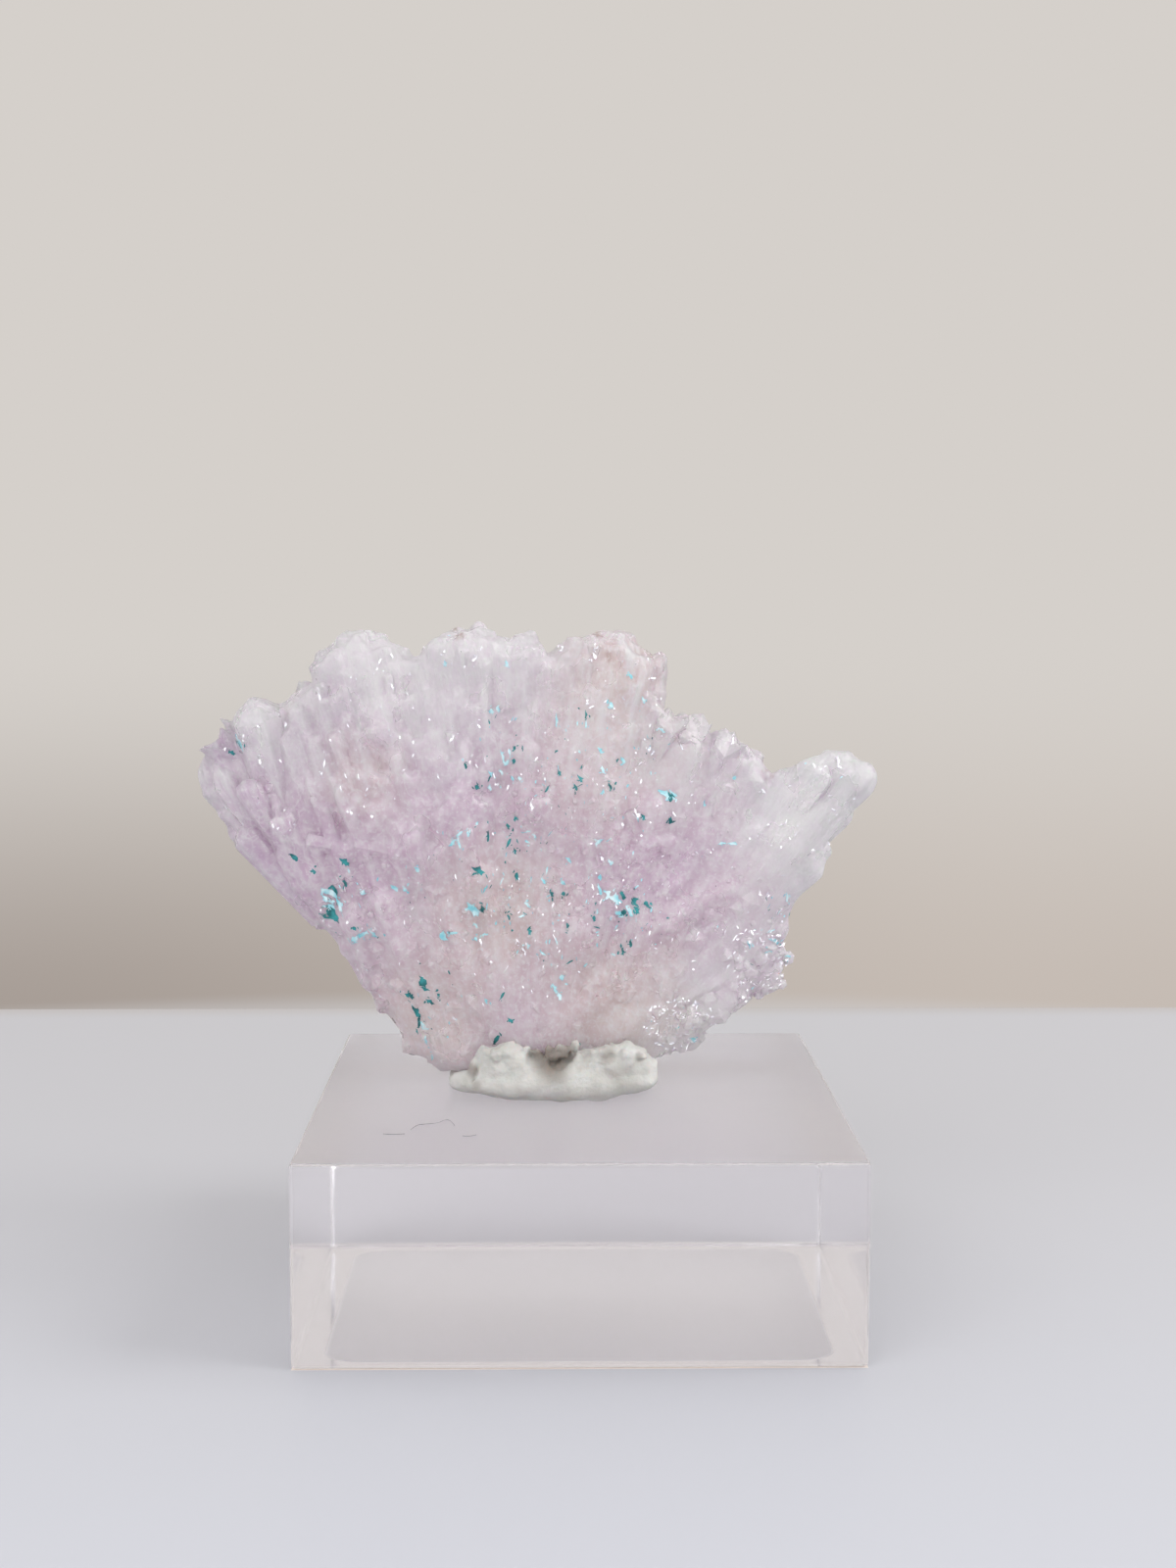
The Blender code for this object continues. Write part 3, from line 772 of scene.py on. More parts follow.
PALE_FLECKS = (
    (459, 865, 465, 855, 0.35), (465, 855, 472, 848, 0.35), (466, 856, 470, 866, 0.3),
    (477, 849, 478, 853, 0.4), (424, 885, 428, 890, 0.4), (400, 905, 405, 908, 0.6),
    (411, 907, 415, 909, 0.4), (368, 909, 372, 912, 0.5), (479, 925, 487, 932, 1.1),
    (451, 952, 453, 957, 0.9), (455, 953, 467, 952, 0.35), (484, 942, 487, 946, 0.35),
    (484, 956, 487, 960, 0.35), (491, 954, 498, 953, 0.3), (536, 849, 541, 848, 0.3),
    (545, 851, 546, 857, 0.3), (540, 860, 536, 858, 0.3), (553, 897, 556, 901, 0.4),
    (578, 875, 582, 879, 0.4), (573, 899, 577, 902, 0.35), (559, 882, 557, 894, 0.2),
    (536, 921, 540, 925, 0.4), (530, 936, 535, 934, 0.3), (606, 863, 616, 855, 0.4),
    (621, 878, 624, 882, 0.4), (611, 893, 613, 898, 0.4), (610, 903, 614, 913, 0.4),
    (618, 909, 621, 914, 0.4), (624, 915, 632, 920, 1.0), (629, 930, 635, 934, 0.5),
    (640, 926, 645, 934, 0.6), (539, 963, 539, 968, 0.3), (550, 971, 558, 975, 0.3),
    (572, 995, 574, 1000, 0.5), (565, 1005, 567, 1011, 0.5), (570, 1013, 572, 1020, 0.5),
    (430, 1046, 434, 1050, 0.8), (495, 1019, 497, 1024, 0.3), (568, 728, 568, 743, 0.3),
    (598, 736, 598, 743, 0.25), (622, 718, 625, 722, 0.5), (642, 688, 645, 692, 0.4),
    (655, 712, 658, 717, 0.4), (611, 763, 614, 768, 0.45), (634, 774, 637, 778, 0.45),
    (614, 783, 616, 788, 0.4), (673, 743, 678, 747, 0.4), (674, 808, 682, 812, 0.7),
    (684, 806, 689, 816, 0.5), (717, 818, 720, 822, 0.35), (748, 792, 750, 796, 0.4),
    (511, 765, 515, 780, 0.35), (515, 782, 520, 775, 0.35), (519, 763, 521, 772, 0.3),
    (500, 723, 503, 729, 0.4), (507, 720, 509, 727, 0.4), (499, 787, 502, 792, 0.35),
    (510, 786, 513, 790, 0.35), (529, 792, 531, 797, 0.3), (522, 792, 524, 797, 0.3),
    (499, 802, 501, 806, 0.3), (454, 675, 455, 679, 0.4), (516, 675, 518, 680, 0.4),
    (243, 753, 248, 766, 0.6), (330, 908, 345, 914, 0.8), (328, 916, 340, 922, 0.8),
    (334, 924, 342, 927, 0.6), (344, 916, 349, 930, 0.6), (358, 962, 366, 956, 0.8), (366, 955, 376, 952, 0.6),
    (378, 950, 384, 956, 0.5), (733, 861, 740, 860, 0.35), (744, 861, 752, 861, 0.4),
    (803, 911, 803, 920, 0.4), (764, 962, 766, 967, 0.4), (785, 958, 795, 962, 0.5),
    (743, 1061, 748, 1064, 0.5), (705, 1059, 709, 1062, 0.5), (688, 1071, 692, 1074, 0.4),
    (434, 1058, 435, 1067, 0.3), (441, 1074, 441, 1083, 0.25),
)
# Frost-white chips: partly white fractures, partly painted glints turned to mirror the lights
FROST_AND_GLINT_FLECKS = (
    (614, 872, 615, 877, 0.5), (527, 957, 530, 962, 0.35), (533, 965, 536, 972, 0.35),
    (497, 978, 503, 983, 0.3), (663, 690, 666, 693, 0.4), (648, 827, 652, 833, 0.5),
    (747, 750, 747, 767, 0.35), (653, 793, 654, 800, 0.3), (662, 760, 663, 767, 0.35),
    (687, 754, 688, 761, 0.35), (462, 748, 460, 758, 0.4), (491, 658, 490, 664, 0.35),
    (486, 668, 483, 675, 0.35),
    (487, 736, 489, 743, 0.35), (399, 693, 400, 703, 0.3), (330, 770, 331, 785, 0.3),
    (323, 700, 328, 716, 0.3), (291, 737, 293, 745, 0.4), (326, 786, 329, 791, 0.35),
    (855, 773, 857, 784, 0.5), (805, 783, 808, 790, 0.4), (777, 800, 778, 810, 0.35),
    (606, 662, 607, 672, 0.5), (574, 660, 575, 662, 0.5), (543, 815, 543, 828, 0.4),
    (668, 765, 662, 771, 0.4), (695, 760, 697, 764, 0.4), (262, 770, 267, 780, 0.3),
)

# Where small flecks are sprinkled: the pixel at the middle, the half widths in
# pixels, then how many teal, pale and frost-white ones, the frost-white ones partly painted glints
SPRINKLES = (
    ((575, 870), (85, 125), 32, 90, 40),
    ((625, 770), (60, 60), 6, 20, 12),
    ((360, 930), (42, 42), 8, 14, 14),
    ((440, 1020), (42, 42), 8, 8, 0),
    ((640, 935), (42, 42), 9, 16, 4),
    ((785, 935), (22, 40), 4, 8, 8),
    ((510, 765), (26, 45), 5, 10, 10),
    ((470, 900), (60, 70), 10, 16, 10),
    ((774, 985), (32, 42), 2, 5, 110),
    ((695, 1046), (38, 28), 0, 4, 120),
    ((700, 900), (110, 90), 0, 6, 60),
    ((470, 960), (130, 90), 0, 6, 60),
    ((292, 842), (10, 16), 0, 0, 8),
    ((375, 745), (48, 95), 0, 0, 34),
    ((460, 720), (50, 80), 0, 2, 22),
    ((700, 760), (60, 60), 0, 2, 22),
    ((260, 800), (40, 60), 0, 0, 18),
    ((830, 820), (45, 50), 0, 2, 24),
    ((640, 690), (50, 50), 0, 4, 24),
)
FLECK_LIFT = 0.05 * MM
FLECK_THICKNESS = 0.1 * MM
FLECK_SPREAD = 1.15
# Facings between the camera and the window, and the camera and the front light
GLINT_FACINGS = (Vector((0.512, -0.725, 0.46)), Vector((-0.249, -0.901, 0.352)))
GLINT_SPREAD = 0.08
GLINT_LIFT = 0.12 * MM
SPLINTERS = 3
SPLINTER_STRAY = 1.8
DASH_WIDTH = (0.12, 0.4)
DASH_LENGTH = (0.3, 1.3)


def model_flake(name, reaches):
    """A flat chip of unit size, its rim in and out by the given reaches."""
    bpy.ops.object.select_all(action="DESELECT")
    bpy.ops.mesh.primitive_circle_add(vertices=len(reaches), radius=1, fill_type="TRIFAN")
    flake = bpy.context.active_object
    flake.name = name
    rim = [point for point in flake.data.vertices if point.co.length > 0.5]
    for point, reach in zip(rim, reaches):
        point.co = point.co * reach
    for group in list(flake.users_collection):
        group.objects.unlink(flake)
    return flake


def lay_flake(pattern, place, normal, along, length, width):
    """A copy of a chip flat on the skin at a place, its long way along."""
    flake = bpy.data.objects.new(pattern.name + "_copy", pattern.data.copy())
    along = (along - along.dot(normal) * normal).normalized()
    across = normal.cross(along)
    turn = Matrix((along, across, normal)).transposed().to_4x4()
    flake.matrix_world = Matrix.Translation(place) @ turn @ Matrix.Diagonal((length / 2, width / 2, 1, 1))
    return flake


def glint_normal(rng):
    """A facing that mirrors one of the lights to the camera, near enough."""
    spread = Vector((rng.gauss(0, 1), rng.gauss(0, 1), rng.gauss(0, 1))) * GLINT_SPREAD
    return (rng.choice(GLINT_FACINGS) + spread).normalized()


def flakes_along(surface, patterns, flecks, glinting, rng):
    """The chips at the listed places."""
    found = []
    for start_across, start_down, end_across, end_down, width in flecks:
        start, _ = surface.seen(start_across, start_down)
        end, _ = surface.seen(end_across, end_down)
        place, normal = surface.seen((start_across + end_across) / 2, (start_down + end_down) / 2)
        if not (start and end and place):
            continue
        if glinting:
            normal = glint_normal(rng)
        across = width * FLECK_SPREAD * MM
        length = (end - start).length + across
        found.append(lay_flake(rng.choice(patterns), place, normal, end - start, length, across))
        for _ in range(SPLINTERS):
            along = rng.uniform(-0.1, 1.1)
            spot, normal = surface.seen(
                start_across + along * (end_across - start_across) + rng.gauss(0, SPLINTER_STRAY),
                start_down + along * (end_down - start_down) + rng.gauss(0, SPLINTER_STRAY),
            )
            if spot is None:
                continue
            if glinting:
                normal = glint_normal(rng)
            way = Vector((rng.gauss(0, 1), 0, rng.gauss(0, 1)))
            size = across * rng.uniform(0.4, 0.9)
            found.append(lay_flake(rng.choice(patterns), spot, normal, way, 1.8 * size, 0.6 * size))
    return found


def sprinkled_flakes(surface, patterns, middle, half, count, spread, glinting, rng):
    found = []
    for _ in range(count):
        spread, turn = math.sqrt(rng.random()), rng.uniform(0, math.tau)
        place, normal = surface.seen(
            middle[0] + half[0] * spread * math.cos(turn), middle[1] + half[1] * spread * math.sin(turn)
        )
        if place is None:
            continue
        if glinting:
            normal = glint_normal(rng)
            place += normal * GLINT_LIFT
        found.append(dash(patterns, place, normal, spread, rng))
    return found


def dash(patterns, place, normal, spread, rng):
    """A small chip that runs roughly along the columns."""
    away = place - GROWTH_CENTRE
    course = fan_direction(math.atan2(away.x, away.z) + rng.gauss(0, 0.7))
    width = rng.uniform(*DASH_WIDTH) * spread * MM
    length = width + rng.uniform(*DASH_LENGTH) * MM * rng.random()
    return lay_flake(rng.choice(patterns), place, normal, course, length, width)


def join_flakes(name, flakes, cluster, glinting, material):
    """One piece of thin chips. All but glinting ones follow the skin under them."""
    bpy.ops.object.select_all(action="DESELECT")
    for flake in flakes:
        bpy.context.scene.collection.objects.link(flake)
        flake.select_set(True)
    joined = flakes[0]
    bpy.context.view_layer.objects.active = joined
    bpy.ops.object.join()
    joined.name = name
    joined.data.name = name
    settle(joined)
    if not glinting:
        hug = joined.modifiers.new("on the skin", "SHRINKWRAP")
        hug.target = cluster
        hug.wrap_method = "NEAREST_SURFACEPOINT"
        hug.wrap_mode = "ABOVE_SURFACE"
        hug.offset = FLECK_LIFT
    shell = joined.modifiers.new("thickness", "SOLIDIFY")
    shell.thickness = FLECK_THICKNESS
    shell.offset = -1
    apply_modifiers(joined)
    finish_with(joined, material)
    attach(joined, "root")
    return joined


def make_flecks(cluster):
    """Mineral films, and frosty white chips that are partly painted glints, on the crystals."""
    rng = random.Random(SEED + 1)
    patterns = (
        model_flake("ragged_chip", (1.0, 0.8, 1.1, 0.65, 0.95, 0.6, 1.1, 0.85, 0.7, 0.9)),
        model_flake("long_chip", (1.2, 0.9, 0.6, 0.5, 0.8, 1.2, 0.6, 0.9, 0.5, 0.8)),
        model_flake("forked_chip", (1.2, 0.6, 0.5, 1.0, 0.8, 0.55, 1.1, 0.7, 0.95, 0.5)),
    )
    surface = Surface(cluster)
    kinds = (
        ("teal_flecks", TEAL_FLECKS, 2, 1.0, mineral_film("teal film", TEAL_DARK, TEAL_MID)),
        ("pale_flecks", PALE_FLECKS, 3, 1.5, mineral_film("pale film", CYAN, CYAN_WHITE)),
        ("frost_and_glint_flecks", FROST_AND_GLINT_FLECKS, 4, 1.7, mineral_film("frosty and glint chips", FROST_GLINT_SHADE, FROST_GLINT_WHITE, 0.3)),
    )
    for name, flecks, column, size, material in kinds:
        glinting = name == "frost_and_glint_flecks"
        flakes = flakes_along(surface, patterns, flecks, glinting, rng)
        for sprinkle in SPRINKLES:
            middle, half = sprinkle[:2]
            count = sprinkle[column]
            flakes += sprinkled_flakes(surface, patterns, middle, half, count, size, glinting, rng)
        for place, normal in back_spots(surface, BACK_FLECKS[name], rng):
            flakes.append(dash(patterns, place, normal, size, rng))
        join_flakes(name, flakes, cluster, glinting, material)
    for pattern in patterns:
        bpy.data.objects.remove(pattern)


# The putty


# Lumps that build the putty up in front of the cluster's foot: middle and
# half sizes in mm, and a turn about the upright axis in degrees
PUTTY_LUMPS = (
    ((-2.5, -5.6, 28.0), (13.6, 3.9, 2.5), 0),
    ((-9.4, -5.6, 30.3), (5.2, 3.0, 2.9), -12),
    ((5.4, -5.2, 30.2), (5.6, 3.2, 2.9), 10),
    ((-1.8, -6.0, 29.2), (5.5, 2.6, 2.2), 0),
    ((-14.6, -4.2, 27.6), (3.0, 2.2, 1.5), -20),
    ((8.0, -3.2, 28.8), (2.6, 3.6, 2.4), 30),
    ((-1.5, -7.6, 29.0), (7.5, 1.5, 1.3), 2),
)
# Crumbs along its ragged upper rim: from and to, size range, all in mm
CRUMB_LINE = ((-11.5, -6.8, 32.0), (8.5, -6.4, 32.2))
CRUMB_SIZES = (0.35, 1.1)
CRUMBS = 36
# Pits and a crease pressed into it, in the same way
PUTTY_PITS = (
    ((-4.8, -8.4, 32.3), (2.4, 3.0, 1.6), 8),
    ((-2.6, -8.6, 31.7), (2.4, 2.9, 1.5), -6),
    ((-0.6, -8.9, 32.6), (1.6, 2.6, 1.3), 0),
    ((3.6, -8.9, 32.9), (0.9, 1.6, 0.8), 0),
    ((-18.6, -6.0, 31.4), (3.4, 4.0, 2.6), 0),
    ((-18.9, -8.0, 26.0), (3.0, 3.0, 1.3), 0),
    ((12.0, -6.0, 32.4), (3.0, 4.0, 2.6), 0),
    ((2.5, -8.6, 33.2), (1.4, 1.4, 1.1), 0),
    ((7.4, -7.0, 33.0), (0.8, 1.2, 0.8), 0),
    ((-13.9, -6.7, 30.2), (0.5, 1.2, 2.6), -30),
    ((-10.8, -8.9, 31.2), (1.1, 0.8, 0.7), 0),
)


# Below this height the putty is rolled smooth, and above it is ragged
PUTTY_SMOOTH_BELOW = 28.6 * MM
PUTTY_RAGGED_BAND = 2.2 * MM


def make_putty():
    """A lump pressed on by hand, with a rolled front, pits and a pinched tail."""
    rng = random.Random(SEED + 2)
    putty = copy_of_node("mounting_putty", "pressed_putty")
    fuse(putty, [round_helper(*lump) for lump in PUTTY_LUMPS])
    remesh(putty, 0.4 * MM)
    smooth(putty, 10)
    fuse(putty, [round_helper(*pit) for pit in PUTTY_PITS], "DIFFERENCE")
    crumbs = []
    for _ in range(CRUMBS):
        place = Vector(CRUMB_LINE[0]).lerp(Vector(CRUMB_LINE[1]), rng.random())
        place += Vector((0, rng.uniform(-1.0, 0.8), rng.gauss(0, 0.5)))
        half = [rng.uniform(*CRUMB_SIZES) for _ in range(3)]
        crumbs.append(round_helper(place, half, rng.uniform(0, 90)))
    fuse(putty, crumbs)
    remesh(putty, 0.3 * MM)
    smooth(putty, 2)
    roughen(putty, "CLOUDS", 3.6 * MM, 0.9 * MM, noise_depth=1)
    ragged = putty.vertex_groups.new(name="ragged rim")
    for point in putty.data.vertices:
        share = (point.co.z - PUTTY_SMOOTH_BELOW) / PUTTY_RAGGED_BAND
        ragged.add([point.index], min(max(share, 0.1), 1.0), "REPLACE")
    roughen(putty, "CLOUDS", 1.5 * MM, 1.1 * MM, noise_depth=1, group=ragged.name)
    roughen(putty, "CLOUDS", 0.6 * MM, 0.3 * MM, noise_depth=2, group=ragged.name)
    finish_with(putty, putty_material())
    only(putty)
    bpy.ops.object.shade_smooth()
    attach(putty, "root")
    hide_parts("mounting_putty")
    return putty


# Materials


def new_material(name):
    """An empty node tree with a Principled BSDF already wired to the output."""
    material = bpy.data.materials.new(name)
    material.use_nodes = True
    shader = material.node_tree.nodes["Principled BSDF"]
    return material, material.node_tree, shader


def node(tree, kind, values=None, **settings):
    """A node with its plain socket values, by name or number, and its settings."""
    made = tree.nodes.new(kind)
    for setting, value in settings.items():
        setattr(made, setting, value)
    for socket, value in (values or {}).items():
        if hasattr(value, "is_output"):
            tree.links.new(value, made.inputs[socket])
        else:
            made.inputs[socket].default_value = value
    return made


def colour(red, green, blue):
    """An 8-bit screen colour as the linear colour that a socket takes."""

    def linear(level):
        level /= 255
        return level / 12.92 if level <= 0.04045 else ((level + 0.055) / 1.055) ** 2.4

    return (linear(red), linear(green), linear(blue), 1.0)


def group_tree(name, inputs, outputs):
    """An empty node group with named sockets. Inputs are (name, kind, value)."""
    tree = bpy.data.node_groups.new(name, "ShaderNodeTree")
    for socket, kind, value in inputs:
        made = tree.interface.new_socket(socket, in_out="INPUT", socket_type=kind)
        if value is not None:
            made.default_value = value
    for socket, kind in outputs:
        tree.interface.new_socket(socket, in_out="OUTPUT", socket_type=kind)
    return tree, tree.nodes.new("NodeGroupInput"), tree.nodes.new("NodeGroupOutput")


def soft_zone_group():
    """A round patch with a soft edge, seen from the front: 1 inside, 0 outside."""
    tree, given, result = group_tree(
        "soft zone",
        (
            ("Vector", "NodeSocketVector", None),
            ("Centre", "NodeSocketVector", (0, 0, 0)),
            ("Inner", "NodeSocketFloat", 0.0),
            ("Outer", "NodeSocketFloat", 0.01),
        ),
        (("Mask", "NodeSocketFloat"),),
    )
    away = node(
        tree,
        "ShaderNodeVectorMath",
        {0: given.outputs["Vector"], 1: given.outputs["Centre"]},
        operation="SUBTRACT",
    )
    flat = node(
        tree,
        "ShaderNodeVectorMath",
        {0: away.outputs[0], 1: (1, 0, 1)},
        operation="MULTIPLY",
    )
    distance = node(tree, "ShaderNodeVectorMath", {0: flat.outputs[0]}, operation="LENGTH")
    mask = node(
        tree,
        "ShaderNodeMapRange",
        {
            "Value": distance.outputs["Value"],
            "From Min": given.outputs["Outer"],
            "From Max": given.outputs["Inner"],
        },
        interpolation_type="SMOOTHSTEP",
    )
    tree.links.new(mask.outputs["Result"], result.inputs["Mask"])
    return tree


def grain_group():
    """Fine uneven grain in two sizes, from 0 to 1."""
    tree, given, result = group_tree(
        "grain",
        (
            ("Vector", "NodeSocketVector", None),
            ("Coarse", "NodeSocketFloat", 500.0),
            ("Fine", "NodeSocketFloat", 2500.0),
            ("Share of fine", "NodeSocketFloat", 0.4),
        ),
        (("Height", "NodeSocketFloat"),),
    )
    sizes = []
    for scale in ("Coarse", "Fine"):
        noise = node(
            tree,
            "ShaderNodeTexNoise",
            {"Vector": given.outputs["Vector"], "Scale": given.outputs[scale], "Detail": 3.0},
        )
        sizes.append(noise.outputs["Fac"])
    mix = node(
        tree,
        "ShaderNodeMix",
        {0: given.outputs["Share of fine"], 2: sizes[0], 3: sizes[1]},
        data_type="FLOAT",
    )
    tree.links.new(mix.outputs[0], result.inputs["Height"])
    return tree


def flute_group():
    """Coordinates that run along the fan's columns: across, through, along.

    The columns on the left seem to spring from further down than on the right,
    so the point that they fan out from moves up from left to right."""
    tree, given, result = group_tree(
        "along the columns",
        (("Vector", "NodeSocketVector", None), ("Stretch", "NodeSocketFloat", 0.16)),
        (("Vector", "NodeSocketVector"),),
    )
    axes = node(tree, "ShaderNodeSeparateXYZ", {0: given.outputs["Vector"]})
    side = node(
        tree,
        "ShaderNodeMapRange",
        {"Value": axes.outputs["X"], "From Min": -15 * MM, "From Max": 15 * MM},
        interpolation_type="SMOOTHSTEP",
    ).outputs["Result"]
    spring = node(
        tree, "ShaderNodeMapRange", {"Value": side, "To Min": LEFT_SPRING, "To Max": RIGHT_SPRING}
    ).outputs["Result"]
    spread = node(
        tree, "ShaderNodeMapRange", {"Value": side, "To Min": LEFT_SPREAD, "To Max": RIGHT_SPREAD}
    ).outputs["Result"]
    across = math_node(tree, "SUBTRACT", axes.outputs["X"], GROWTH_CENTRE.x)
    up = math_node(tree, "SUBTRACT", axes.outputs["Z"], spring)
    angle = math_node(tree, "ARCTAN2", across, up)
    flat = node(tree, "ShaderNodeCombineXYZ", {0: across, 1: 0.0, 2: up})
    reach = node(tree, "ShaderNodeVectorMath", {0: flat.outputs[0]}, operation="LENGTH")
    made = node(
        tree,
        "ShaderNodeCombineXYZ",
        {
            0: math_node(tree, "MULTIPLY", angle, spread),
            1: math_node(tree, "MULTIPLY", axes.outputs["Y"], 0.6),
            2: math_node(tree, "MULTIPLY", reach.outputs["Value"], given.outputs["Stretch"]),
        },
    )
    tree.links.new(made.outputs[0], result.inputs["Vector"])
    return tree


def facet_group():
    """The height of small flat facets, each tilted its own way."""
    tree, given, result = group_tree(
        "facets",
        (("Vector", "NodeSocketVector", None), ("Scale", "NodeSocketFloat", 600.0)),
        (("Height", "NodeSocketFloat"),),
    )
    cells = node(
        tree,
        "ShaderNodeTexVoronoi",
        {"Vector": given.outputs["Vector"], "Scale": given.outputs["Scale"]},
    )
    tilt = node(
        tree, "ShaderNodeVectorMath", {0: cells.outputs["Color"], 1: (0.5, 0.5, 0.5)}, operation="SUBTRACT"
    )
    here = node(
        tree,
        "ShaderNodeVectorMath",
        {0: given.outputs["Vector"], 1: cells.outputs["Position"]},
        operation="SUBTRACT",
    )
    rise = node(
        tree, "ShaderNodeVectorMath", {0: tilt.outputs[0], 1: here.outputs[0]}, operation="DOT_PRODUCT"
    )
    height = math_node(tree, "MULTIPLY", rise.outputs["Value"], given.outputs["Scale"])
    tree.links.new(height, result.inputs["Height"])
    return tree




def mix_colour(tree, share, first, second):
    """The colour between two, each a colour or another node's output."""
    mix = node(tree, "ShaderNodeMix", {0: share, 6: first, 7: second}, data_type="RGBA")
    return mix.outputs[2]


def math_node(tree, operation, first, second=0.0, clamp=False):
    made = node(tree, "ShaderNodeMath", {0: first, 1: second}, operation=operation)
    made.use_clamp = clamp
    return made.outputs[0]


ZONE = soft_zone_group()
GRAIN = grain_group()
FLUTES = flute_group()
FACETS = facet_group()


# Patches of colour on the cluster: the pixel at the middle, the radius in mm
# and the strength. Each reaches through the crystal from front to back.
DEEP_LILAC = (
    (290, 865, 10, 0.75),
    (365, 860, 9, 0.45),
    (226, 752, 4, 0.75),
    (250, 800, 5, 0.45),
    (665, 860, 9, 0.45),
    (690, 940, 12, 0.15),
    (775, 985, 8, 0.15),
    (590, 945, 8, 0.45),
    (770, 770, 6, 0.25),
    (520, 800, 14, 0.35),
    (362, 755, 10, 0.4),
    (640, 680, 8, 0.4),
)
STAINED = (
    (515, 925, 10, 0.6),
    (625, 1010, 10, 0.6),
    (378, 790, 6, 0.4),
    (440, 1035, 10, 0.5),
    (610, 770, 12, 0.35),
    (632, 680, 8, 0.6),
)
RUSTY = (
    (464, 641, 0.8, 0.8),
    (603, 642, 0.7, 0.8),
    (611, 674, 0.9, 0.5),
    (783, 786, 0.6, 0.9),
    (300, 712, 1.0, 0.3),
)
# Milky white patches; one of them is painted light
MILK_WHITE_AND_PAINTED_LIGHT = (
    (850, 800, 13, 0.9),
    (810, 870, 8, 0.6),
    (370, 680, 11, 0.3),
    (450, 720, 9, 0.5),
    (660, 760, 9, 0.4),
    (430, 1070, 7, 0.5),
    (310, 750, 7, 0.5),
    (262, 750, 4, 0.6),
    # This patch at the ring is painted light: it lightens faces that turn down away from the lights
    (695, 1050, 10, 0.9),
    (790, 965, 8, 0.6),
    (740, 990, 9, 0.4),
)

PALE = colour(242, 237, 241)
LILAC = colour(227, 208, 221)
DEEP = colour(212, 184, 210)
BEIGE = colour(233, 217, 206)
MILK = colour(252, 250, 252)
RUST = colour(176, 148, 130)


